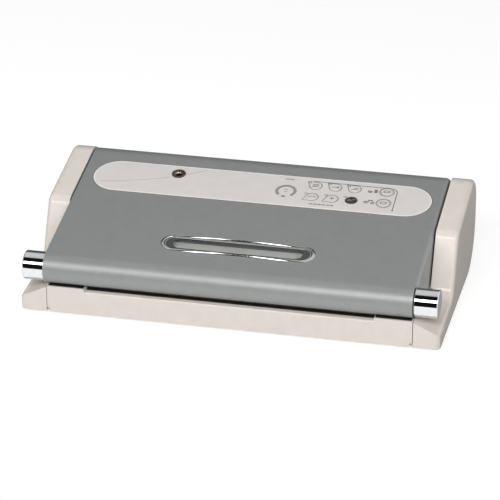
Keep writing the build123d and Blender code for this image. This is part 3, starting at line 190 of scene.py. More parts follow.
@dataclass(frozen=True)
class Finish:
    """One material: what it is, how it was made and what that gives the eye."""

    name: str
    slot: str
    colour: str
    second: str
    grain: Grain
    grain_mm: float
    roughness: float
    spread: float
    relief_mm: float
    metallic: float = 0.0
    ior: float = 1.5
    coat: float = 0.0
    coat_roughness: float = 0.12
    clear: float = 0.0
    cast_light: str = "F2F4F3"
    mottle_mm: float = 14.0
    mottle_span: Point2 = (0.12, 0.38)
    bump: float = 0.6
    stretch: float = 0.02

    @cache
    def build(self) -> bpy.types.Material:
        """Make the material, once.

        Returns:
            A node material with colour, roughness and relief patterns in real sizes.
        """
        material = bpy.data.materials.new(self.name)
        tree = blank_tree(material)
        place = add_node(tree, "ShaderNodeTexCoord").outputs["Object"]
        pattern = self.pattern(tree, place)
        spots = {"Vector": place, "Scale": 1 / (self.mottle_mm * MM), "Detail": 3.0}
        mottle = add_node(tree, "ShaderNodeTexNoise", spots).outputs["Fac"]
        span = remap(tree, maths(tree, "MULTIPLY", pattern, mottle), self.mottle_span)
        tones = {"Factor": span, "A": linear(self.second), "B": linear(self.colour)}
        colour = add_node(tree, "ShaderNodeMix", tones, data_type="RGBA")
        least = max(0.0, self.roughness - self.spread)
        rough = remap(tree, pattern, wanted=(least, self.roughness + self.spread))
        relief = {"Height": pattern, "Strength": self.bump, "Distance": self.relief_mm * MM}
        bump = add_node(tree, "ShaderNodeBump", relief)
        surface = add_node(tree, "ShaderNodeBsdfPrincipled", {
            "Base Color": colour.outputs["Result"], "Roughness": rough, "Normal": bump.outputs[0],
            "Metallic": self.metallic, "IOR": self.ior, "Transmission Weight": self.clear,
            "Coat Weight": self.coat, "Coat Roughness": self.coat_roughness,
        }).outputs[0]
        if self.clear:
            light = add_node(tree, "ShaderNodeLightPath").outputs["Is Shadow Ray"]
            through = add_node(tree, "ShaderNodeBsdfTransparent", {"Color": linear(self.cast_light)})
            surface = blend(tree, light, surface, through.outputs[0])
        add_node(tree, "ShaderNodeOutputMaterial", {"Surface": surface})
        return material

    def pattern(self, tree: Tree, place: Socket) -> Socket:
        """Add the fine pattern of the surface.

        Args:
            tree: Tree of the material.
            place: Object coordinates in metres.

        Returns:
            A socket that runs from 0 to 1.
        """
        scale = 1 / (self.grain_mm * MM)
        if self.grain is Grain.FLAKE:
            cells = add_node(tree, "ShaderNodeTexVoronoi", {"Vector": place, "Scale": scale})
            return add_node(tree, "ShaderNodeSeparateColor", {0: cells.outputs["Color"]}).outputs[0]
        if self.grain is Grain.WOVEN:
            weave = {"Vector": place, "Scale": scale / math.tau}
            warp, weft = (add_node(tree, "ShaderNodeTexWave", weave, bands_direction=way) for way in "XY")
            return maths(tree, "MAXIMUM", warp.outputs["Fac"], weft.outputs["Fac"])
        if self.grain is Grain.BRUSHED:
            along = {"Vector": place, "Scale": (self.stretch, 1.0, 1.0)}
            place = add_node(tree, "ShaderNodeMapping", along).outputs[0]
        detail = 4.0 if self.grain in (Grain.CAST, Grain.SOFT) else 2.0
        spots = {"Vector": place, "Scale": scale, "Detail": detail}
        return add_node(tree, "ShaderNodeTexNoise", spots).outputs["Fac"]


# ABS moulded in a fine spark-eroded tool: cream, with a satin gloss and narrow highlights.
CREAM = Finish("cream_abs", "cream_plastic", "E0D8D0", "D9D1C9", Grain.ERODED, 0.7, 0.16, 0.04, 0.003)
# Metallic paint: flakes that catch the light one by one under a thin clear coat, drawn coarse to show.
LID_PAINT = Finish("metallic_grey_paint", "lid_paint", "A1A3A2", "9A9C9B", Grain.FLAKE, 0.6,
                   0.50, 0.05, 0.004, metallic=0.58, coat=0.05)
# Printed film over panel and keys: smooth, a little paler and pinker than the housing.
FILM = Finish("panel_film", "panel_film", "DBD6D3", "D5D0CD", Grain.ERODED, 0.5, 0.34, 0.04, 0.003)
# Polypropylene of the lid's liner and the floor: moulded plain, with broad dull highlights.
LINER = Finish("liner_polypropylene", "liner_plastic", "CFC8C0", "C6BFB7", Grain.ERODED, 0.9,
               0.48, 0.06, 0.01)
# Chromed zinc, polished before plating: a mirror with the faintest orange peel.
CHROME = Finish("chromed_zinc", "chrome", "E9EBED", "E2E5E8", Grain.POLISHED, 3.0, 0.035, 0.015, 0.0006, 1.0)
# Chrome over a lightly blasted moulding, on the window frame: a mirror whose highlights fade at the edges.
SATIN = Finish("satin_chrome", "chrome", "DFE1E3", "D6D9DC", Grain.POLISHED, 2.0, 0.06, 0.02, 0.001, 1.0)
# Smoke-grey moulding of the ledge round the pane, with a low sheen; its dark is painted shade for the shaded
# ends of the window.
SMOKE_SHADE = Finish("smoke_grey_moulding", "dark_plastic", "444643", "3A3C39", Grain.ERODED, 0.5,
               0.30, 0.05, 0.004)
# Acetal of the lip that holds the pane and of the cup under it: pale grey, moulded smooth. On the lip the
# pale grey is a painted highlight, for the lit edge inside the frame.
GREY_AND_HIGHLIGHT = Finish("pale_grey_acetal", "liner_plastic", "B8B4B0", "AEAAA6", Grain.ERODED, 0.5, 0.35, 0.05, 0.003)
# ABS of the start key and small fittings: moulded near black, with a soft sheen.
DARK = Finish("dark_abs", "dark_plastic", "2D2B2A", "232120", Grain.ERODED, 0.5, 0.42, 0.06, 0.006)
# ABS of the port's ring: moulded brown, polished where fingers and nozzles rub it.
BROWN = Finish("brown_abs", "dark_plastic", "4C3D35", "3A2E28", Grain.ERODED, 0.6, 0.28, 0.06, 0.006)
# Brass of the seat inside the port: turned and left plain, so it has gone dull.
BRASS = Finish("dull_brass", "copper", "A69C90", "887E72", Grain.BRUSHED, 0.4, 0.34, 0.08, 0.004, 1.0)
# Acetal of the hinge plates: moulded black and dull. Their black is partly painted shade, for the dark gap
# beside the lid.
ACETAL_AND_GAP_SHADE = Finish("black_acetal", "dark_plastic", "171616", "100F0F", Grain.ERODED, 0.5, 0.50, 0.05, 0.004)
# White ink of the line along the panel's edge, flat: a painted highlight for the lit rim of the plate.
HIGHLIGHT_INK = Finish("white_screen_ink", "panel_film", "F3F0EC", "EEEBE7", Grain.ERODED, 0.4, 0.45, 0.05, 0.002)
# Screen ink of the main print: flat dark grey-brown.
DARK_INK = Finish("screen_ink", "dark_plastic", "4A4643", "3E3A38", Grain.ERODED, 0.4, 0.55, 0.05, 0.002)
# Screen ink of the dial arc and fine lines: flat pale grey.
PALE_INK = Finish("pale_screen_ink", "dark_plastic", "9B9693", "8E8986", Grain.ERODED, 0.4, 0.50, 0.05, 0.002)
# Acrylic of the windows: polished, clear with a touch of green.
ACRYLIC = Finish("clear_acrylic", "clear_plastic", "F4F7F6", "F0F4F3", Grain.POLISHED, 4.0,
                 0.02, 0.01, 0.0004, ior=1.49, clear=1.0)
# Polycarbonate of the lamps: moulded smooth, milky and pale.
LAMP = Finish("lamp_polycarbonate", "lamp_plastic", "D9D4C6", "CCC6B8", Grain.POLISHED, 1.0,
              0.25, 0.05, 0.002)
# Steel of pins, screws, springs and laminations: rolled or turned, bright with fine lines.
STEEL = Finish("bright_steel", "steel", "BFC1C3", "A9ABAE", Grain.BRUSHED, 0.4, 0.28, 0.10, 0.003, 1.0)
# Die-cast alloy of the pump: grey and slightly pebbled.
CAST = Finish("die_cast_alloy", "pump_metal", "AEB0B2", "9B9DA0", Grain.CAST, 0.8, 0.45, 0.10, 0.03, 1.0)
# Enamelled copper wire of the winding: warm, with lines where turn lies beside turn.
COPPER = Finish("enamelled_copper", "copper", "B87544", "9A5A30", Grain.BRUSHED, 0.5, 0.30, 0.08, 0.05, 1.0)
# Lacquered glass-fibre board: green, with the weave just showing.
BOARD = Finish("circuit_board", "board", "2F6B45", "27593A", Grain.WOVEN, 0.8, 0.38, 0.05, 0.01)
# Nitrile of feet, gaskets and buffers: moulded, dull black. The same black makes the rings beside the
# buttons, which are painted shade, and the dark strip in the window's cup.
RUBBER_AND_SHADE = Finish("black_nitrile", "black_rubber", "262627", "1C1C1D", Grain.SOFT, 0.6, 0.62, 0.08, 0.02)
# Silicone of the pressure strip and hoses: moulded, milky and soft.
SILICONE = Finish("white_silicone", "silicone", "DAD8D2", "CFCDC7", Grain.SOFT, 0.8, 0.55, 0.06, 0.01)
# Phenolic of the bar under the heater: pressed, dark brown and finely pebbled.
BAR = Finish("phenolic_bar", "bar_plastic", "3B3734", "2F2B29", Grain.CAST, 0.6, 0.50, 0.06, 0.01)
# Coated cloth on the deck behind the rail and on the pads: near black, as painted shade under the lid's lip.
# Threads are drawn at 0.9 mm to show.
DECK_SHADE_CLOTH = Finish("dark_coated_cloth", "tape", "27211D", "1C1815", Grain.WOVEN, 0.9, 0.50, 0.06, 0.03)
# Coated glass cloth over the heater: tan, in a plain weave. Threads are drawn at 0.9 mm to show.
CLOTH = Finish("coated_glass_cloth", "tape", "8A6B48", "6E5236", Grain.WOVEN, 0.9, 0.42, 0.06, 0.03)


def arc(centre: Point2, radius: float, start: float, end: float, step: float = 2.0) -> list[Point2]:
    """Points on an arc.

    Args:
        centre: Centre of the arc.
        radius: Its radius.
        start: First angle in degrees.
        end: Last angle in degrees.
        step: Largest turn between two points.

    Returns:
        The points from start to end, both included.
    """
    count = max(1, math.ceil(abs(end - start) / step))
    angles = [math.radians(start + (end - start) * i / count) for i in range(count + 1)]
    return [(centre[0] + radius * math.cos(a), centre[1] + radius * math.sin(a)) for a in angles]


def slot_outline(length: float, depth: float, grow: float = 0.0, bays: int = 1) -> list[Point2]:
    """Outline of a slot with round ends, centred on the origin.

    Args:
        length: Length over both ends.
        depth: Width across.
        grow: How far the outline lies outside the slot.
        bays: Number of parts in each straight side.

    Returns:
        The closed outline, counter-clockwise.
    """
    radius = depth / 2
    reach = length / 2 - radius
    along = [reach - 2 * reach * i / bays for i in range(1, bays)]
    points = arc((reach, 0), radius + grow, -90, 90, END_STEP) + [(x, radius + grow) for x in along]
    points += arc((-reach, 0), radius + grow, 90, 270, END_STEP) + [(-x, -radius - grow) for x in along]
    return points


def circle_outline(x: float, y: float, radius: float, step: float = 6.0) -> list[Point2]:
    """Outline of a circle."""
    return arc((x, y), radius, 0, 360 - step, step)


def box_outline(left: float, right: float, low: float, high: float) -> list[Point2]:
    """Outline of a box, counter-clockwise."""
    return [(left, low), (right, low), (right, high), (left, high)]


def inset(outline: Outline, distance: float, least: float = 0.2) -> list[Point2]:
    """Shift a counter-clockwise outline inwards.

    Args:
        outline: Closed outline without a repeated end point.
        distance: How far each side moves.
        least: Limit to how far a sharp corner runs out.

    Returns:
        As many points as the outline has.
    """
    moved = []
    for i, spot in enumerate(outline):
        here, before, after = Vector(spot), Vector(outline[i - 1]), Vector(outline[(i + 1) % len(outline)])
        first, second = (here - before).normalized(), (after - here).normalized()
        normal = Vector((-first.y - second.y, first.x + second.x)).normalized()
        share = max(least, normal.dot(Vector((-first.y, first.x))))
        moved.append(tuple(here + normal * (distance / share)))
    return moved


def fillet_outline(corners: Sequence[Point3], step: float = 4.0) -> list[Point2]:
    """Outline with rounded corners.

    Args:
        corners: Each corner with its radius, 0 for a sharp one.
        step: Largest turn between two points of a round.

    Returns:
        The outline's points.
    """
    points: list[Point2] = []
    for i, (y, z, radius) in enumerate(corners):
        if radius <= 0:
            points.append((y, z))
            continue
        here = Vector((y, z))
        before = (Vector(corners[i - 1][:2]) - here).normalized()
        after = (Vector(corners[(i + 1) % len(corners)][:2]) - here).normalized()
        half = math.acos(max(-1.0, min(1.0, before.dot(after)))) / 2
        middle = here + (before + after).normalized() * (radius / math.sin(half))
        reach = radius / math.tan(half)
        begin, finish = here + before * reach - middle, here + after * reach - middle
        start = math.degrees(math.atan2(begin.y, begin.x))
        end = start - math.degrees(begin.angle_signed(finish))
        points += arc((middle.x, middle.y), radius, start, end, step)
    return points


@dataclass(frozen=True)
class Stand:
    """A flat frame on the lid's sloped top, with its own x, v and height."""

    y: float
    z: float
    slope: float

    def at(self, x: float, v: float, height: float = 0.0) -> Point3:
        """Place of a point of the frame in the machine."""
        cos, sin = math.cos(self.slope), math.sin(self.slope)
        return (x, self.y + v * cos - height * sin, self.z + v * sin + height * cos)


@dataclass(frozen=True)
class LidForm:
    """Side view of the lid: a nose, a flat top and a barrel round the hinge."""

    nose: Point2 = (-98.0, 45.5)
    nose_radius: float = 16.0
    hinge: Point2 = (86.5, 69.5)
    barrel: float = 26.7
    panel_y: float = 42.0
    window_y: float = -65.3

    @property
    def slope(self) -> float:
        """Slope of the flat top in radians."""
        run, rise = self.hinge[0] - self.nose[0], self.hinge[1] - self.nose[1]
        return math.atan2(rise, run) + math.asin((self.barrel - self.nose_radius) / math.hypot(run, rise))

    def stand(self, y: float) -> Stand:
        """Frame on the flat top at a place along Y.

        Args:
            y: Place along Y.

        Returns:
            The frame, with its origin in the middle of the width.
        """
        angle = 90 + math.degrees(self.slope)
        start = arc(self.nose, self.nose_radius, angle, angle)[0]
        return Stand(y, start[1] + (y - start[0]) * math.tan(self.slope), self.slope)


@dataclass
class Workshop:
    """Makes meshes in millimetres and hands them over as finished pieces."""

    weld: float = 0.002
    flat_angle: float = 0.4
    normal_weight: int = 60

    def piece(self, name: str, draft: Draft) -> Obj:
        """Turn a draft in millimetres into an object at the origin.

        Args:
            name: Name of the object.
            draft: Mesh draft, which is freed.

        Returns:
            The new object, linked to the scene.
        """
        bmesh.ops.scale(draft, vec=(MM, MM, MM), verts=draft.verts)
        bmesh.ops.recalc_face_normals(draft, faces=draft.faces)
        return add_mesh(name, draft)

    def loft(self, name: str, rings: Sequence[Sequence[Point3]], closed: bool = False) -> Obj:
        """Skin through rings of as many points each.

        Args:
            name: Name of the object.
            rings: The rings in order.
            closed: Whether the last ring joins the first; otherwise both ends get a flat face.

        Returns:
            The new object.
        """
        draft = bmesh.new()
        rows = [[draft.verts.new(p) for p in ring] for ring in rings]
        for low, high in zip(rows, rows[1:] + rows[:1] if closed else rows[1:]):
            for i in range(len(low)):
                j = (i + 1) % len(low)
                draft.faces.new((low[i], low[j], high[j], high[i]))
        if not closed:
            draft.faces.new(rows[0][::-1])
            draft.faces.new(rows[-1])
        return self.piece(name, draft)

    def extrude(self, name: str, outline: Outline, low: float, high: float, place: Place = upright) -> Obj:
        """Outline drawn out between two heights of the view that it is seen in."""
        return self.loft(name, [[place(a, b, h) for a, b in outline] for h in (low, high)])

    def lathe(self, name: str, profile: Outline, place: Place, count: int, closed: bool = False) -> Obj:
        """Turned piece.

        Args:
            name: Name of the object.
            profile: Place along the axis and radius of each point, from one end to the other.
            place: Turns two offsets across the axis and the place along it into a point.
            count: Number of sides.
            closed: Whether the profile closes on itself, as for a tube.

        Returns:
            The new object.
        """
        turns = [2 * math.pi * i / count for i in range(count)]
        rings = [[place(r * math.cos(t), r * math.sin(t), a) for t in turns] for a, r in profile]
        return self.loft(name, rings, closed)

    def settle(self, made: Obj) -> None:
        """Turn the object's modifiers into plain mesh.

        Args:
            made: Piece that is changed.
        """
        bpy.context.view_layer.update()
        graph = bpy.context.evaluated_depsgraph_get()
        mesh = bpy.data.meshes.new_from_object(made.evaluated_get(graph))
        made.modifiers.clear()
        old, made.data = made.data, mesh
        bpy.data.meshes.remove(old)

    def combine(
        self, made: Obj, tools: Iterable[Obj], operation: str = "DIFFERENCE"
    ) -> None:
        """Cut tools out of a piece, or join them to it, and remove them.

        Args:
            made: Piece that is changed.
            tools: Objects that are used up.
            operation: Blender's name for the kind of cut.
        """
        used = list(tools)
        for tool in used:
            step = made.modifiers.new("cut", "BOOLEAN")
            step.object, step.operation, step.solver = tool, operation, "EXACT"
        self.settle(made)
        for tool in used:
            bpy.data.objects.remove(tool)

    def soften(self, made: Obj, width: float, segments: int = 3, angle: float = 40.0) -> None:
        """Round the sharp edges and smooth the rest.

        Args:
            made: Piece that is changed.
            width: Width of the round in millimetres, 0 for none.
            segments: Steps in the round.
            angle: Edges that turn by more than this are sharp, in degrees.
        """
        if width:
            step = made.modifiers.new("round", "BEVEL")
            step.width, step.segments, step.limit_method = width * MM, segments, "ANGLE"
            step.angle_limit = math.radians(angle)
            step.use_clamp_overlap, step.miter_outer = True, "MITER_ARC"
        self.settle(made)
        made.data.shade_smooth()
        made.data.set_sharp_from_angle(angle=math.radians(angle))
        weigh = made.modifiers.new("weigh", "WEIGHTED_NORMAL")
        weigh.keep_sharp, weigh.weight = True, self.normal_weight
        self.settle(made)

    def copy_of(self, node: str, name: str, width: float, segments: int = 2) -> Obj:
        """Copy of a node with merged faces and rounded edges.

        Args:
            node: Node that is copied.
            name: Name of the copy.
            width: Width of the edge's round in millimetres.
            segments: Steps in the round.

        Returns:
            The new object.
        """
        draft = bmesh.new()
        draft.from_mesh(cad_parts[node].data)
        bmesh.ops.remove_doubles(draft, verts=draft.verts, dist=self.weld * MM)
        flat = math.radians(self.flat_angle)
        bmesh.ops.dissolve_limit(draft, angle_limit=flat, verts=draft.verts, edges=draft.edges)
        made = add_mesh(name, draft)
        self.soften(made, width, segments)
        return made

    def hand_over(
        self, made: Obj, body: str, finish: Finish, *nodes: str, angle: float = 0.0
    ) -> None:
        """Give a piece its finish and body, and hide the nodes that it stands for.

        Args:
            made: Finished piece.
            body: Body that it rides on.
            finish: Its finish.
            nodes: Nodes that it replaces.
            angle: Edges that turn by less than this are smoothed first, in degrees; 0 leaves all as they are.
        """
        if angle:
            self.soften(made, 0.0, angle=angle)
        made.data.materials.clear()
        made.data.materials.append(finish.build())
        for face in made.data.polygons:
            face.material_index = 0
        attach(made, body)
        if nodes:
            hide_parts(*nodes)
        LOG.info("%s rides on %s", made.name, body)

    def dress(self, finish: Finish, *nodes: str) -> None:
        """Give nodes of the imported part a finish.

        Args:
            finish: The finish.
            nodes: Names of the nodes.
        """
        for node in nodes:
            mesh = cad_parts[node].data
            for i in range(len(mesh.materials)):
                mesh.materials[i] = finish.build()
            if not mesh.materials:
                mesh.materials.append(finish.build())
            LOG.info("%s has %s", node, finish.name)


@dataclass
class SubAssembly:
    """Group of pieces that a workshop makes to the lid's form."""

    shop: Workshop
    form: LidForm = field(default_factory=LidForm)


@dataclass
class Lid(SubAssembly):
    """Outer shell of the lid with its window, and the liner under it."""

    edge: float = 0.45
    edge_steps: int = 3
    liner_edge: float = 0.4
    window: Point2 = (152.0, 22.8)
    bays: int = 32
    crest_mid: float = 1.6
    crest_end: float = 0.65
    crest_run: float = 61.0
    frame_shift: float = 2.0
    lip_shift: float = 0.9
    end_ledge: float = 14.0
    # Half length, front and rear of the dark strip up the cup's rear side.
    seal: Point3 = (66.0, 10.95, 12.35)
    dark_strip_heights: Point2 = (-7.58, -3.65)
    dark_strip_round: float = 0.6
    dark_strip_edge: float = 0.2
    # Height and growth of each ring of the pane, and of the cup under it.
    pane: Profile = ((-3.5, 3.0), (-2.3, 3.0), (-2.3, -0.1), (-0.95, -0.1), (-0.8, -0.25))
    cup: Profile = ((-7.6, 1.0), (-3.6, 1.6), (-3.6, 2.6), (-8.6, 2.0))
    # Height, growth, share of the crest and shortening of each ring over the frame.
    rim: Table = (
        (0.01, 2.1, 0.0, -0.4), (0.02, 1.9, 0.22, 0.0), (0.02, 1.58, 0.5, 0.8), (0.0, 1.2, 0.76, 1.4),
        (0.0, 0.9, 0.92, 2.0), (0.0, 0.6, 1.0, 2.0), (0.0, 0.35, 0.95, 2.0), (0.05, 0.1, 0.78, 1.6),
        (0.09, -0.2, 0.52, 1.2), (0.14, -0.45, 0.22, 0.8), (0.2, -0.6, 0.0, 0.5), (0.01, -0.65, 0.0, 0.5),
    )
    # Height, growth and share of the frame's shift and of the end's ledge of each ring of ledge and lip.
    ledge: Levels = (
        (-0.72, -0.2, 0.0), (-0.02, -0.2, 0.0), (-0.03, -1.1, 0.35), (-0.4, -1.3, 0.38), (-0.42, -3.0, 1.0),
        (-0.5, -3.2, 1.0), (-0.72, -3.2, 1.0),
    )
    lip: Levels = (
        (-0.45, -1.3, 0.1), (-0.1, -1.35, 0.1), (0.0, -1.5, 0.1), (0.0, -1.9, 0.1), (-0.1, -2.05, 0.1),
        (-0.45, -2.1, 0.1),
    )

    def build(self) -> None:
        """Make the shell, the window and the liner."""
        shell = self.shop.copy_of("lid_shell", "lid_skin", self.edge, self.edge_steps)
        self.shop.hand_over(shell, "lid", LID_PAINT, "lid_shell")
        self.lens()
        self.bezel()
        self.well()
        liner = self.shop.copy_of("lid_liner", "liner_panel", self.liner_edge)
        self.shop.hand_over(liner, "lid", LINER, "lid_liner")

    def crest(self, x: float) -> float:
        """Height of the window frame, which arches gently along the lid."""
        return max(self.crest_end, self.crest_mid - (x / self.crest_run) ** 2)

    def ring(
        self, height: float, grow: float, crest: float = 0.0, shift: float = 0.0, shorter: float = 0.0
    ) -> list[Point3]:
        """One ring of points round the window.

        Args:
            height: Height above the lid's top.
            grow: How far the ring lies outside the window's edge.
            crest: Share of the frame's crest that is added to the height.
            shift: How far the ring lies to the rear.
            shorter: How much is taken off the window's length.

        Returns:
            The ring's points.
        """
        stand, (length, deep) = self.form.stand(self.form.window_y), self.window
        outline = slot_outline(length - shorter, deep, grow, self.bays)
        return [stand.at(x, v + shift, height + crest * self.crest(x)) for x, v in outline]

    def lens(self) -> None:
        """Clear pane with its flange under the shell."""
        pane = self.shop.loft("window_pane", [self.ring(*level) for level in self.pane])
        self.shop.hand_over(pane, "lid", ACRYLIC, "window_lens", angle=42)
        self.shop.dress(ACRYLIC, "inner_window")

    def bezel(self) -> None:
        """Bright window frame with steep sides and an arched crest, and inside it a dark ledge, its dark
        painted shade, and a pale lip, its pale grey a painted highlight.
        """
        shift = self.frame_shift
        rings = [self.ring(height, grow, crest, shift, shorter) for height, grow, crest, shorter in self.rim]
        self.shop.hand_over(self.shop.loft("window_bezel", rings, closed=True), "lid", SATIN, angle=30)
        # The ledge's dark is painted shade at the window's ends.
        # The lip's pale grey is a painted highlight along the lit edge inside the frame.
        for name, levels, finish, more in (
            ("window_ledge", self.ledge, SMOKE_SHADE, 0.0), ("window_lip", self.lip, GREY_AND_HIGHLIGHT, self.lip_shift),
        ):
            rings = [self.ring(height, grow, 0.0, shift * part + more, self.end_ledge * part)
                     for height, grow, part in levels]
            self.shop.hand_over(self.shop.loft(name, rings, closed=True), "lid", finish, angle=30)

    def well(self) -> None:
        """Shallow cup that closes the window from below, with a dark strip up its rear side that gives the
        dark band seen through the window.
        """
        cup = self.shop.loft("window_cup", [self.ring(*level) for level in self.cup])
        self.shop.hand_over(cup, "lid", GREY_AND_HIGHLIGHT, angle=40)
        half, front, back = self.seal
        bar = fillet_outline([(x, v, self.dark_strip_round) for x, v in box_outline(-half, half, front, back)])
        seal = self.shop.extrude("cup_seal", bar, *self.dark_strip_heights, self.form.stand(self.form.window_y).at)
        self.shop.soften(seal, self.dark_strip_edge)
        self.shop.hand_over(seal, "lid", RUBBER_AND_SHADE)


@dataclass
class Scatter:
    """Geometry Nodes pattern: one shape repeated on given places."""

    name: str
    turn: float = 0.0
    seed: int = 7

    def tree(self) -> Tree:
        """Make the pattern's node tree.

        Returns:
            A tree with the inputs Places, Shape, Turn, Seed and Finish.
        """
        tree = bpy.data.node_groups.new(self.name, "GeometryNodeTree")
        inputs = (("Places", "Geometry"), ("Shape", "Object"), ("Turn", "Float"), ("Seed", "Int"),
                  ("Finish", "Material"))
        for label, kind in inputs:
            tree.interface.new_socket(label, in_out="INPUT", socket_type=f"NodeSocket{kind}")
        tree.interface.new_socket("Pieces", in_out="OUTPUT", socket_type="NodeSocketGeometry")
        given = add_node(tree, "NodeGroupInput").outputs
        shape = add_node(tree, "GeometryNodeObjectInfo", {"Object": given["Shape"]})
        limits = {"Max": given["Turn"], "Seed": given["Seed"]}
        chance = add_node(tree, "FunctionNodeRandomValue", limits, data_type="FLOAT")
        turn = add_node(tree, "ShaderNodeCombineXYZ", {"Z": chance.outputs["Value"]})
        laid = add_node(tree, "GeometryNodeInstanceOnPoints", {
            "Points": given["Places"], "Instance": shape.outputs["Geometry"], "Rotation": turn.outputs[0],
        })
        real = add_node(tree, "GeometryNodeRealizeInstances", {"Geometry": laid.outputs[0]})
        look = {"Geometry": real.outputs[0], "Material": given["Finish"]}
        dressed = add_node(tree, "GeometryNodeSetMaterial", look)
        add_node(tree, "NodeGroupOutput", {"Pieces": dressed.outputs[0]})
        return tree

    def build(
        self, shop: Workshop, name: str, places: Sequence[Point3], shape: Obj, finish: Finish
    ) -> Obj:
        """Lay the shape on each place and turn the result into plain mesh.

        Args:
            shop: Workshop that makes the piece.
            name: Name of the new object.
            places: Where the shape goes, in millimetres.
            shape: Object to repeat, which is removed.
            finish: Its finish.

        Returns:
            One object with all the copies.
        """
        draft = bmesh.new()
        for spot in places:
            draft.verts.new(spot)
        made = shop.piece(name, draft)
        step = made.modifiers.new("pattern", "NODES")
        step.node_group = self.tree()
        values = {"Shape": shape, "Turn": self.turn, "Seed": self.seed, "Finish": finish.build()}
        for item in step.node_group.interface.items_tree:
            if item.name in values:
                step[item.identifier] = values[item.name]
        shop.settle(made)
        bpy.data.objects.remove(shape)
        return made


class Ink(Enum):
    """Inks of the panel's print; the white one is a painted highlight along the plate's rim."""

    DARK = DARK_INK
    PALE = PALE_INK
    WHITE = HIGHLIGHT_INK


def box_mark(half: float, low: float, high: float) -> list[list[Point2]]:
    """Four lines round a box."""
    corners = box_outline(-half, half, low, high)
    return [[corners[i - 1], corners[i]] for i in range(len(corners))]


# Lines of the plain mark on each key, from the key's middle, row by row.
KEY_MARKS: dict[str, list[list[Point2]]] = {
    "top_key_1": [[(-2.6, v), (2.6, v)] for v in (-1.6, 0.0, 1.6)],
    "top_key_2": [[(-2.8, 0.0), (2.8, 0.0)], [(2.0, -1.3), (2.0, 1.3)]],
    "top_key_3": [[(-2.8, -0.8), (2.8, -0.8)], [(-1.0, 1.0), (2.8, 1.0)]],
    "top_key_4": box_mark(2.4, -1.0, 1.2),
    "bottom_key_1": [[(-3.0, -0.6), (-1.4, 0.8), (0.0, -0.6), (1.4, 0.8), (3.0, -0.6)]],
    "bottom_key_2": [[(-2.0, 0.0), (2.0, 0.0)], [(0.0, -1.6), (0.0, 1.6)]],
    "start_key": [[(-3.2, 0.9), (-0.4, 0.9)], [(0.6, 0.9), (3.2, 0.9)], [(-3.2, -1.0), (1.2, -1.0)]],
    "bottom_key_4": box_mark(2.2, -1.4, 1.4),
}
# Plain lines of the plate: ink, width and points. Those of the dial are measured from its middle.
DIAL_LINES: tuple[tuple[Ink, float, list[Point2]], ...] = (
    (Ink.PALE, 3.4, arc((0.0, 0.0), 9.3, 230, -50, 5)),
    (Ink.PALE, 1.3, [(-1.9, 2.3), (1.9, 2.3)]),
    (Ink.PALE, 1.2, [(-1.6, -1.4), (1.6, -1.4)]),
    (Ink.DARK, 1.9, [(-2.8, -9.6), (0.8, -9.8)]),
    (Ink.DARK, 0.9, [(-4.6, 21.6), (5.0, 21.4)]),
)
PLATE_LINES: tuple[tuple[Ink, float, list[Point2]], ...] = (
    (Ink.DARK, 0.8, [(51.0, 20.6), (90.0, 20.1), *arc((131.5, 12.4), 7.0, 86, 0, 10), (139.0, -17.5)]),
    (Ink.DARK, 1.5, [(138.0, -19.0), (140.0, -19.0)]),
    *[(Ink.DARK, 1.2, [(54.0 + 4.3 * n, -19.7), (57.4 + 4.3 * n, -19.8)]) for n in range(6)],
    (Ink.PALE, 0.5, [(-166.0, -12.8), (-146.0, -9.3), (-126.0, -4.7), (-110.0, 0.1), (-97.0, 5.0)]),
    (Ink.PALE, 0.5, [(-80.5, 12.6), (-72.0, 16.8), (-61.0, 23.6)]),
)
# Strokes left of the last key of each row: start, end and height from the key's middle.
NOTES: tuple[Levels, ...] = (
    ((108.4, 113.4, -0.6), (109.0, 113.0, -2.6),
     (115.2, 118.6, 1.8), (115.0, 118.8, -0.2), (115.2, 118.6, -2.2)),
    ((111.6, 117.0, 3.0), (107.6, 113.6, 0.4), (108.0, 112.0, -2.0),
     (115.0, 118.8, 0.2), (115.0, 118.8, -2.4)),
)


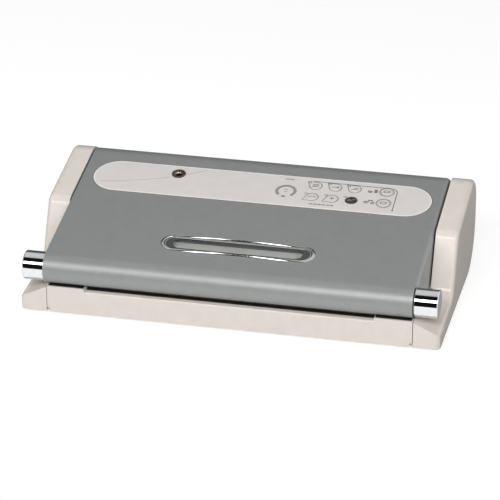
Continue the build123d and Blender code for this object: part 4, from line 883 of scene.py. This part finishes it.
@dataclass
class ControlPanel(SubAssembly):
    """Front plate with its print, keys, lamps and accessory port."""

    size: Point2 = (352.0, 54.0)
    top: float = 0.4
    bottom: float = -1.15
    columns: tuple[float, ...] = (54.5, 75.0, 95.0, 128.0)
    rows: tuple[float, ...] = (12.7, -7.5)
    key_radius: float = 5.4
    key_gap: float = 0.2
    key_top: float = 0.8
    stem_radius: float = 1.8
    stem_foot: float = -6.0
    lamp_shift: Point2 = (-7.0, 5.4)
    lamp_radius: float = 1.1
    lamp_rim: float = 0.3
    lamp_rise: float = 0.5
    lamp_gap: float = 0.1
    port: Point2 = (-89.0, 12.0)
    port_hole: float = 5.1
    hole_reach: float = 3.0
    dial: Point2 = (26.2, -1.0)
    ink: float = 0.05
    ink_proud: float = 0.03
    mark_proud: float = 0.02
    mark_scale: float = 1.25
    mark_width: float = 0.75
    rim_highlight_line: Point2 = (-0.95, 0.9)
    joint_line: Point2 = (0.3, 0.5)
    leaf_gap: float = 1.1
    leaf_tip: float = 2.2
    low_tip: float = -4.6
    leaf_width: float = 0.7
    double_rings: Point2 = (1.2, 2.3)
    double_width: float = 0.5
    start_ring: Point2 = (0.75, 0.9)
    note_width: float = 1.3
    lamp_ring: Point2 = (0.45, 0.6)
    # Height over the plate's top and growth of each ring of its rounded rim.
    plate_rim: Profile = ((-0.35, 0.0), (-0.1, -0.12), (0.0, -0.5))
    # Place along the axis and radius of each point round the port's rim and its seat.
    port_rim: Profile = (
        (-9.0, 3.7), (-9.0, 4.2), (-4.0, 4.2), (-4.0, 5.0), (0.4, 5.0), (0.4, 7.2), (1.1, 7.2), (1.5, 7.0),
        (1.75, 6.5), (1.8, 5.9), (1.6, 5.3), (0.9, 5.0), (0.0, 5.0), (0.0, 3.7),
    )
    port_seat: Profile = (
        (-9.0, 3.0), (-9.0, 3.6), (0.05, 3.6), (0.05, 4.9), (0.5, 4.9), (0.6, 4.7), (0.1, 3.5), (-0.6, 3.0),
    )

    @property
    def stand(self) -> Stand:
        """Frame of the panel."""
        return self.form.stand(self.form.panel_y)

    def build(self) -> None:
        """Make plate, keys, print, port and lamps."""
        self.plate()
        self.keys()
        self.print_lines()
        self.port_bush()
        self.lamp_row()

    def turned(self, x: float, v: float) -> Place:
        """Way to place the points of a piece that is turned about an upright axis of the panel."""
        return lambda across, up, height: self.stand.at(x + across, v + up, height)

    def places(self) -> list[Point2]:
        """Place of each key across and up the panel, row by row."""
        return [(x, v) for v in self.rows for x in self.columns]

    def lamps(self) -> list[Point2]:
        """Place of each lamp across and up the panel, row by row."""
        across, up = self.lamp_shift
        return [(x + across, v + up) for v in self.rows for x in self.columns[:-1]]

    def lamp_row(self) -> None:
        """Domed lamps set in a pattern on the plate."""
        stand = self.stand
        profile = [(self.stem_foot, self.lamp_radius)] + [
            (self.lamp_rim + self.lamp_rise * math.sin(t), self.lamp_radius * math.cos(t))
            for t in map(math.radians, (0, 20, 40, 60, 80))
        ]
        dome = self.shop.lathe("lamp_dome", profile, Stand(0.0, 0.0, stand.slope).at, 24)
        self.shop.soften(dome, 0.0)
        places = [stand.at(x, v) for x, v in self.lamps()]
        row = Scatter("lamp_pattern").build(self.shop, "lamp_domes", places, dome, LAMP)
        self.shop.hand_over(row, "lid", LAMP, "status_leds")

    def plate(self) -> None:
        """Film-covered plate with a rounded rim and holes for keys, lamps and port."""
        shop, stand = self.shop, self.stand
        levels = [(self.bottom, 0.0)] + [(self.top + height, grow) for height, grow in self.plate_rim]
        rings = [[stand.at(x, v, h) for x, v in slot_outline(*self.size, grow)] for h, grow in levels]
        plate = shop.loft("panel_plate", rings)
        holes = [circle_outline(x, v, self.key_radius + self.key_gap) for x, v in self.places()]
        holes += [circle_outline(x, v, self.lamp_radius + self.lamp_gap, 15) for x, v in self.lamps()]
        holes.append(circle_outline(*self.port, self.port_hole))
        reach = self.hole_reach
        shop.combine(plate, [shop.extrude("hole", hole, -reach, reach, stand.at) for hole in holes])
        shop.hand_over(plate, "lid", FILM, "control_overlay", angle=40)

    def keys(self) -> None:
        """Slightly domed keys, the start key dark, with plain marks that travel with them."""
        radius, stem = self.key_radius, self.stem_radius
        profile = [
            (self.stem_foot, stem), (-0.2, stem), (-0.2, radius), (0.45, radius), (0.62, radius - 0.12),
            (0.70, radius - 0.5), (0.75, 2.6), (0.79, 0.6),
        ]
        for (name, marks), (x, v) in zip(KEY_MARKS.items(), self.places()):
            cap = self.shop.lathe(f"{name}_cap", profile, self.turned(x, v), 48)
            dark = name == "start_key"
            self.shop.hand_over(cap, f"{name}_body", DARK if dark else FILM, name, angle=35)
            draft = bmesh.new()
            for line in marks:
                path = [(x + a * self.mark_scale, v + b * self.mark_scale) for a, b in line]
                self.stroke(draft, path, self.mark_width, self.key_top + self.mark_proud)
            mark = self.shop.piece(f"{name}_mark", draft)
            self.shop.hand_over(mark, f"{name}_body", PALE_INK if dark else DARK_INK)

    def port_bush(self) -> None:
        """Turned bush of the accessory port, with a brass seat inside its brown rim."""
        for name, profile, finish, nodes in (
            ("port_rim", self.port_rim, BROWN, ["accessory_port"]), ("port_seat", self.port_seat, BRASS, []),
        ):
            made = self.shop.lathe(name, profile, self.turned(*self.port), 64, closed=True)
            self.shop.hand_over(made, "lid", finish, *nodes, angle=30)

    def stroke(
        self, draft: Draft, path: Outline, width: float, height: float, closed: bool = False
    ) -> None:
        """Lay a printed line on the panel as a thin closed film.

        Args:
            draft: Mesh draft that gets the line.
            path: Points along the line.
            width: Width of the line in millimetres.
            height: Height of its top above the lid's top.
            closed: Whether the line runs back to its start.
        """
        count = len(path)
        sides = []
        for i, here in enumerate(path):
            before = path[i - 1] if i or closed else here
            after = path[(i + 1) % count] if i < count - 1 or closed else here
            run = (Vector(after) - Vector(before)).normalized()
            off = Vector((-run.y, run.x)) * width / 2
            left, right = Vector(here) + off, Vector(here) - off
            low = height - self.ink
            corners = ((left, height), (right, height), (right, low), (left, low))
            sides.append([draft.verts.new(self.stand.at(*spot, h)) for spot, h in corners])
        for i in range(count if closed else count - 1):
            a, b = sides[i], sides[(i + 1) % count]
            for n in range(4):
                m = (n + 1) % 4
                draft.faces.new((a[n], a[m], b[m], b[n]))
        if not closed:
            draft.faces.new(sides[0])
            draft.faces.new(sides[-1][::-1])

    def leaf(self, x: float, v: float) -> list[Point2]:
        """Outline round a key that runs out to a tip, at its lamp in the upper row and below it in the lower.

        Args:
            x: Place of the key across the panel.
            v: Place of the key up the panel.

        Returns:
            The closed outline.
        """
        radius = self.key_radius + self.leaf_gap
        reach = math.hypot(*self.lamp_shift) + self.leaf_tip
        aim = math.degrees(math.atan2(self.lamp_shift[1] if v > 0 else self.low_tip, self.lamp_shift[0]))
        half = math.degrees(math.acos(radius / reach))
        return arc((x, v), radius, aim + half, aim + 360 - half, 8) + arc((x, v), reach, aim, aim)[:1]

    def print_lines(self) -> None:
        """Edge lines, the white one a painted highlight along the rim, dial, frame line, outlines of keys and
        lamps and other plain print on the plate.
        """
        height = self.top + self.ink_proud
        drafts = {ink: bmesh.new() for ink in Ink}
        dark = drafts[Ink.DARK]
        # The white edge line is a painted highlight for the lit rim of the plate.
        for ink, (grow, width), level in (
            (Ink.WHITE, self.rim_highlight_line, height), (Ink.DARK, self.joint_line, self.ink_proud),
        ):
            self.stroke(drafts[ink], slot_outline(*self.size, grow), width, level, True)
        for lines, (x, v) in ((DIAL_LINES, self.dial), (PLATE_LINES, (0.0, 0.0))):
            for ink, width, points in lines:
                self.stroke(drafts[ink], [(x + a, v + b) for a, b in points], width, height)
        for v, notes in zip(self.rows, NOTES):
            *leaves, last = self.columns
            for grow in self.double_rings:
                ring = circle_outline(last, v, self.key_radius + grow, 8)
                self.stroke(dark, ring, self.double_width, height, True)
            for start, end, line in notes:
                self.stroke(dark, [(start, v + line), (end, v + line)], self.note_width, height)
            if v < 0:
                ring = circle_outline(leaves.pop(), v, self.key_radius + self.start_ring[0], 8)
                self.stroke(dark, ring, self.start_ring[1], height, True)
            for x in leaves:
                self.stroke(dark, self.leaf(x, v), self.leaf_width, height, True)
        for x, v in self.lamps():
            ring = circle_outline(x, v, self.lamp_radius + self.lamp_ring[0], 20)
            self.stroke(dark if v > 0 else drafts[Ink.PALE], ring, self.lamp_ring[1], height, True)
        for ink, draft in drafts.items():
            self.shop.hand_over(self.shop.piece(f"{ink.name.lower()}_print", draft), "lid", ink.value)


@dataclass
class EndCaps(SubAssembly):
    """Side mouldings with a steep face, a sloped shelf and a soft outer edge."""

    seam_x: float = 184.0
    seam_gap: float = 0.6
    plate_x: float = 188.5
    outer_x: float = 211.5
    edge: float = 5.0
    edge_steps: int = 8
    fine_edge: float = 0.7
    wall: float = 2.5
    front_y: float = -110.0
    rear_y: float = 114.0
    foot_z: float = 2.0
    arm_z: float = 18.0
    arm_rise: float = 4.0
    arm_length: float = 76.0
    arm_radius: float = 16.0
    steep_run: float = 28.0
    bend_radius: float = 12.0
    rear_radius: float = 44.0
    shelf_z: float = 28.5
    shelf_foot_z: float = 9.0
    shelf_length: float = 85.3
    ledge_z: float = 29.0
    proud: float = 0.8
    far: float = 130.0

    def outline(self, drop: float = 0.0) -> list[Point2]:
        """Side view, counter-clockwise.

        Args:
            drop: How far the bottom is lowered, with the rear unchanged.

        Returns:
            The outline's points.
        """
        low = self.foot_z - drop
        rise = self.proud / math.cos(self.form.slope)
        foot_y = self.front_y + self.arm_length
        bend_y = foot_y + self.steep_run
        return fillet_outline([
            (self.front_y, low, 0.0),
            (self.rear_y, low, self.rear_radius + drop),
            (self.rear_y, self.form.stand(self.rear_y).z + rise, self.form.barrel + self.proud),
            (bend_y, self.form.stand(bend_y).z + rise, self.bend_radius),
            (foot_y, self.arm_z + self.arm_rise, self.arm_radius),
            (self.front_y, self.arm_z, 0.0),
        ])

    def build(self) -> None:
        """Make both caps and dress their plates and pins."""
        for side, sign in SIDES:
            cap = self.cap(f"{side}_side_cap", sign)
            self.shop.hand_over(cap, "base", CREAM, f"{side}_end_cap")
            # Black hinge plates; their black is partly painted shade for the gap beside the lid.
            self.shop.dress(ACETAL_AND_GAP_SHADE, f"{side}_hinge_plate")
            self.shop.dress(STEEL, f"{side}_hinge_pin", f"{side}_keeper")

    def cap(self, name: str, sign: int) -> Obj:
        """One cap.

        Args:
            name: Name of the piece.
            sign: 1 for the right, -1 for the left.

        Returns:
            The finished mesh object.
        """
        outline, seam, far = self.outline(self.edge), self.seam_x + self.seam_gap, self.far
        turns = [math.pi / 2 * i / self.edge_steps for i in range(self.edge_steps + 1)]
        shelf_x, edge = self.outer_x - self.edge, self.edge
        levels = [(seam, 0.0)] + [(shelf_x + edge * math.sin(t), edge * (1 - math.cos(t))) for t in turns]
        rings = [[(sign * x, y, z) for y, z in inset(outline, depth)] for x, depth in levels]
        cap = self.shop.loft(name, rings)
        foot_z = self.shelf_foot_z
        section = [(seam, foot_z), (seam, self.shelf_z), (shelf_x, self.arm_z), (shelf_x, foot_z)]
        ends = (self.front_y, self.front_y + self.shelf_length)
        shelf = self.shop.loft("shelf", [[(sign * x, y, z) for x, z in section] for y in ends])
        self.shop.combine(cap, [shelf], "UNION")
        room = (inset(self.outline(), self.wall), self.plate_x, self.outer_x - self.wall)
        ledge = (box_outline(-far, far, self.ledge_z, far), self.seam_x - self.wall, self.plate_x)
        under = (box_outline(-far, far, -far, self.foot_z), self.seam_x - far, self.outer_x + far)
        self.shop.combine(cap, [
            self.shop.extrude("cut", view, sign * left, sign * right, sideways)
            for view, left, right in (room, ledge, under)
        ])
        self.shop.soften(cap, self.fine_edge, angle=32)
        return cap


@dataclass
class ReleaseButtons(SubAssembly):
    """Chromed buttons at both ends of the nose, each with a black ring where it meets the lid, as painted
    shade in the gap there.
    """

    radius: float = 14.4
    boss_radius: float = 4.1
    bore_radius: float = 12.9
    inner_x: float = 181.0
    outer_x: float = 209.5
    dome: float = 1.2
    edge: float = 1.3
    sides: int = 128
    # Place across the machine and radius of each point round the black ring, painted shade in the gap between
    # button and lid.
    shade_ring: Profile = ((183.8, 14.55), (183.8, 15.6), (185.0, 15.6), (185.2, 15.4), (185.2, 14.55))

    def build(self) -> None:
        """Make both buttons and their black rings of painted shade, and dress what is behind them."""
        for side, sign in SIDES:
            button, ring = ([(sign * x, r) for x, r in section] for section in (self.profile(), self.shade_ring))
            knob = self.shop.lathe(f"{side}_chrome_cap", button, self.turned, self.sides)
            self.shop.hand_over(knob, f"{side}_release", CHROME, f"{side}_release_button", angle=40)
            # Black ring where the button meets the lid: painted shade for the dark gap there.
            shade_ring = self.shop.lathe(f"{side}_button_wiper", ring, self.turned, self.sides, closed=True)
            self.shop.hand_over(shade_ring, "lid", RUBBER_AND_SHADE, angle=40)
            self.shop.dress(DARK, f"{side}_latch_slider", f"{side}_hinge_bush")
            self.shop.dress(LINER, f"{side}_latch_guide")
            self.shop.dress(STEEL, f"{side}_button_spring")

    def turned(self, along: float, up: float, x: float) -> Point3:
        """Point beside the nose's axis."""
        return (x, self.form.nose[0] + along, self.form.nose[1] + up)

    def profile(self) -> list[Point2]:
        """Half section of a button: a flat back, a straight side, a rounded rim and a slight dome.

        Returns:
            Place across the machine and radius of each point.
        """
        flat = self.radius - self.edge
        rim = self.outer_x - self.dome * (flat / self.radius) ** 2 - self.edge
        points = [(self.inner_x, radius) for radius in (self.boss_radius, self.bore_radius, self.radius)]
        points += [(rim + self.edge * math.sin(t), flat + self.edge * math.cos(t))
                   for t in map(math.radians, range(0, 85, 12))]
        points += [(self.outer_x - self.dome * (flat * k / self.radius) ** 2, flat * k)
                   for k in (0.97, 0.85, 0.7, 0.5, 0.3, 0.05)]
        return points


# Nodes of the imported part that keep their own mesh, by finish.
MACHINERY: dict[Finish, str] = {
    LINER: "bottom_plate",
    BAR: "seal_bar",
    CLOTH: "release_tape",
    CAST: "pump_head",
    COPPER: "transformer_coil",
    BOARD: "main_board panel_board",
    RUBBER_AND_SHADE: "lower_gasket upper_gasket pump_mounts",
    STEEL: "heater_ribbon pump_motor transformer_core",
    SILICONE: "pressure_strip suction_hose port_hose",
    DARK: "suction_nipple vent_valve vacuum_switch cord_gland board_components key_switches",
}


@dataclass
class Base(SubAssembly):
    """Housing with its deck, floor, feet and machinery."""

    edge: float = 0.6
    feet: Profile = ((168.0, -92.0), (-168.0, -92.0), (168.0, 25.0), (-168.0, 25.0))
    screw_places: Profile = (
        (-140.0, -100.5), (0.0, -100.5), (140.0, -100.5), (-160.0, 48.0), (0.0, 48.0), (160.0, 48.0),
    )
    # Height and radius of each point of a screw, from its head up, and of a foot.
    screw: Profile = (
        (2.3, 0.2), (2.05, 1.9), (2.2, 2.7), (2.5, 3.1), (3.4, 3.1), (3.4, 1.6), (15.6, 1.6), (16.0, 1.2),
    )
    recess: Point2 = (1.8, 0.4)
    recess_heights: Point2 = (1.0, 3.1)
    foot: Profile = (
        (0.4, 0.3), (0.4, 2.6), (0.0, 2.9), (0.0, 4.6), (0.4, 4.9), (0.4, 6.2), (0.0, 6.5), (0.0, 8.4),
        (0.15, 8.75), (0.5, 9.0), (2.0, 9.0), (2.0, 4.0), (4.2, 4.0), (4.5, 3.7),
    )
    # Left, right, front and level of each near-black cloth, which is painted shade under the lid's lip.
    shade_cloths: dict[str, tuple[float, float, float, float]] = field(default_factory=lambda: {
        "deck_cloth": (-145.0, 145.0, -103.6, 26.3),
        "right_pad_cloth": (147.0, 183.0, -108.2, 29.5),
        "left_pad_cloth": (-183.0, -147.0, -108.2, 29.5),
    })
    shade_cloth_back: float = -97.5
    shade_cloth_sunk: float = 0.1
    shade_cloth_proud: float = 0.3
    shade_cloth_edge: float = 0.1

    def build(self) -> None:
        """Make the housing, its feet, screws and the near-black cloths of painted shade, and dress the rest.
        """
        housing = self.shop.copy_of("base_housing", "housing", self.edge)
        self.shop.hand_over(housing, "base", CREAM, "base_housing")
        self.screws()
        self.foot_pads()
        self.deck_cloth()
        for finish, nodes in MACHINERY.items():
            self.shop.dress(finish, *nodes.split())

    def deck_cloth(self) -> None:
        """Thin near-black cloth on the deck, where the bag slides in, and on the pads beside it: painted
        shade under the lid's lip.
        """
        for name, (left, right, front, level) in self.shade_cloths.items():
            outline = box_outline(left, right, front, self.shade_cloth_back)
            sheet = self.shop.extrude(name, outline, level - self.shade_cloth_sunk, level + self.shade_cloth_proud)
            self.shop.soften(sheet, self.shade_cloth_edge)
            self.shop.hand_over(sheet, "base", DECK_SHADE_CLOTH)

    def screws(self) -> None:
        """Screws of the floor with cross recesses, each turned as it was driven."""
        screw = self.shop.lathe("screw", self.screw, upright, 32)
        bars = [self.shop.extrude("bar", box_outline(-x, x, -y, y), *self.recess_heights)
                for x, y in (self.recess, self.recess[::-1])]
        self.shop.combine(screw, bars)
        self.shop.soften(screw, 0.0, angle=30)
        places = [(x, y, 0.0) for x, y in self.screw_places]
        row = Scatter("screw_pattern", math.tau).build(self.shop, "floor_screws", places, screw, STEEL)
        self.shop.hand_over(row, "base", STEEL, "base_screws")

    def foot_pads(self) -> None:
        """Rubber feet with ring grooves underneath."""
        foot = self.shop.lathe("foot", self.foot, upright, 64)
        self.shop.soften(foot, 0.0, angle=30)
        places = [(x, y, 0.0) for x, y in self.feet]
        row = Scatter("foot_pattern").build(self.shop, "foot_pads", places, foot, RUBBER_AND_SHADE)
        self.shop.hand_over(row, "base", RUBBER_AND_SHADE, "rubber_feet")


@dataclass
class Studio(SubAssembly):
    """Pale floor, soft lights and the camera."""

    target: Point3 = (0.34, -10.0, 42.57)
    azimuth: float = math.radians(12.75)
    elevation: float = math.radians(24.7)
    distance: float = 2875.27
    focal_px: float = 2850.0
    picture_px: float = 500.0
    sensor: float = 36.0
    sight: float = 100000.0
    # Place across, width and radiance of each front soft box. They hang in one row before the nose.
    soft_boxes: dict[str, Point3] = field(default_factory=lambda: {
        "front_left": (-1090.0, 1520.0, 5.05), "front_right": (582.0, 1680.0, 6.45),
    })
    nose_line: Point2 = (-98.0, 45.0)
    reach: float = 1417.0
    lamp_rise: float = math.radians(39.0)
    lamp_height: float = 449.0
    fill_place: Point3 = (-1700.0, -500.0, 700.0)
    fill_aim: Point3 = (0.0, 0.0, 50.0)
    fill_size: Point2 = (700.0, 700.0)
    fill_watts: float = 0.8
    # Floor: its edges, its tone for bounced light and for the camera, and its glow.
    table: tuple[float, float, float, float] = (-1500.0, 1500.0, -470.0, 1600.0)
    tones: Point2 = (0.46, 0.9)
    glow: float = 1.34
    seen_glow: float = 0.52
    mirrored_glow: float = 0.72
    mirrored_front: float = -100.0
    # Surroundings: light from horizon and zenith, and what reflections show by rise in degrees and by side.
    horizon: float = 0.34
    zenith: float = 0.52
    cards: Profile = (
        (-180.0, 0.1), (-12.0, 0.006), (78.0, 0.006), (86.0, 0.62),
        (112.0, 0.70), (132.0, 0.66), (142.0, 0.12), (180.0, 0.06),
    )
    side_card: Point2 = (0.31, 0.42)
    side_level: float = 1.1
    left_fade: Point2 = (-0.55, -0.40)
    left_share: float = 0.25

    def build(self) -> None:
        """Set up floor, world, lights and camera."""
        self.floor()
        self.world()
        y, z = self.nose_line
        away, up = self.reach * math.cos(self.lamp_rise), self.reach * math.sin(self.lamp_rise)
        for name, (x, width, radiance) in self.soft_boxes.items():
            watts = radiance * math.pi * width * self.lamp_height * MM * MM
            self.lamp(name, (x, y - away, z + up), (x, y, z), (width, self.lamp_height), watts)
        self.lamp("left_fill", self.fill_place, self.fill_aim, self.fill_size, self.fill_watts)
        self.camera()

    def floor(self) -> None:
        """Pale table that catches the shadow."""
        draft = bmesh.new()
        draft.faces.new([draft.verts.new((x, y, 0.0)) for x, y in box_outline(*self.table)])
        plane = self.shop.piece("table", draft)
        material = bpy.data.materials.new("pale_table")
        tree = blank_tree(material)
        path = add_node(tree, "ShaderNodeLightPath").outputs
        tone = remap(tree, path["Is Camera Ray"], wanted=self.tones)
        shade = add_node(tree, "ShaderNodeBsdfDiffuse", {"Color": tone})
        glow = add_node(tree, "ShaderNodeEmission", {"Color": WHITE_LIGHT, "Strength": self.glow})
        place = add_node(tree, "ShaderNodeTexCoord").outputs["Object"]
        y = add_node(tree, "ShaderNodeSeparateXYZ", {0: place}).outputs["Y"]
        ahead = maths(tree, "LESS_THAN", y, self.mirrored_front * MM)
        front = maths(tree, "MULTIPLY", ahead, path["Is Glossy Ray"])
        mirrored = maths(tree, "MULTIPLY", front, self.mirrored_glow)
        seen = maths(tree, "MULTIPLY", path["Is Camera Ray"], self.seen_glow)
        share = maths(tree, "MAXIMUM", mirrored, seen)
        both = blend(tree, share, shade.outputs[0], glow.outputs[0])
        add_node(tree, "ShaderNodeOutputMaterial", {"Surface": both})
        plane.data.materials.append(material)

    def world(self) -> None:
        """White surroundings for the camera, cards in reflections, and even soft light for the rest."""
        world = bpy.data.worlds.new("studio")
        bpy.context.scene.world = world
        tree = blank_tree(world)
        path = add_node(tree, "ShaderNodeLightPath").outputs
        place = add_node(tree, "ShaderNodeTexCoord").outputs["Generated"]
        way = add_node(tree, "ShaderNodeSeparateXYZ", {0: place}).outputs
        rise = maths(tree, "ARCTAN2", way["Z"], maths(tree, "MULTIPLY", way["Y"], -1.0))
        ramp = add_node(tree, "ShaderNodeValToRGB", {0: remap(tree, rise, (-math.pi, math.pi))})
        stops = ramp.color_ramp.elements
        for i, (angle, level) in enumerate(self.cards):
            spot = (angle + 180) / 360
            stop = stops[0] if i == 0 else stops.new(spot) if i < len(self.cards) - 1 else stops[-1]
            stop.position, stop.color = spot, (level, level, level, 1)
        side = remap(tree, way["X"], self.side_card, (0.0, self.side_level))
        left = remap(tree, way["X"], self.left_fade, (self.left_share, 1.0))
        card = maths(tree, "MAXIMUM", maths(tree, "MULTIPLY", ramp.outputs[0], left), side)
        level = remap(tree, way["Z"], wanted=(self.horizon, self.zenith))
        mirror, soft, white = (
            add_node(tree, "ShaderNodeBackground", {"Color": colour, "Strength": strength}).outputs[0]
            for colour, strength in ((card, 1.0), (WHITE_LIGHT, level), (WHITE_LIGHT, 1.0))
        )
        lit = blend(tree, path["Is Glossy Ray"], soft, mirror)
        both = blend(tree, path["Is Camera Ray"], lit, white)
        add_node(tree, "ShaderNodeOutputWorld", {"Surface": both})

    def lamp(self, name: str, place: Point3, aim: Point3, size: Point2, watts: float) -> None:
        """Add one soft box.

        Args:
            name: Name of the lamp.
            place: Where it hangs.
            aim: What it points at.
            size: Width and height of its face.
            watts: Its power.
        """
        light = bpy.data.lights.new(name, "AREA")
        light.shape, light.size, light.size_y, light.energy = "RECTANGLE", size[0] * MM, size[1] * MM, watts
        holder = add_object(name, light)
        holder.location = Vector(place) * MM
        holder.rotation_euler = (Vector(aim) - Vector(place)).to_track_quat("-Z", "Y").to_euler()

    def camera(self) -> None:
        """Camera at the photograph's angle."""
        lens = bpy.data.cameras.new("camera")
        lens.sensor_width, lens.sensor_height, lens.sensor_fit = self.sensor, self.sensor, "HORIZONTAL"
        lens.lens = self.focal_px / self.picture_px * self.sensor
        lens.clip_end = self.sight * MM
        holder = add_object("camera", lens)
        a, e = self.azimuth, self.elevation
        back = Vector((math.sin(a) * math.cos(e), -math.cos(a) * math.cos(e), math.sin(e)))
        holder.location = (Vector(self.target) + back * self.distance) * MM
        holder.rotation_euler = back.to_track_quat("Z", "Y").to_euler()
        bpy.context.scene.camera = holder


def main() -> None:
    """Build and dress the whole machine."""
    logging.basicConfig(level=logging.INFO, format="%(name)s: %(message)s")
    bpy.context.scene.view_settings.view_transform = "Standard"
    shop = Workshop()
    for part in (Base, EndCaps, Lid, ControlPanel, ReleaseButtons, Studio):
        part(shop).build()
    bpy.context.view_layer.update()


if __name__ == "__main__":
    main()
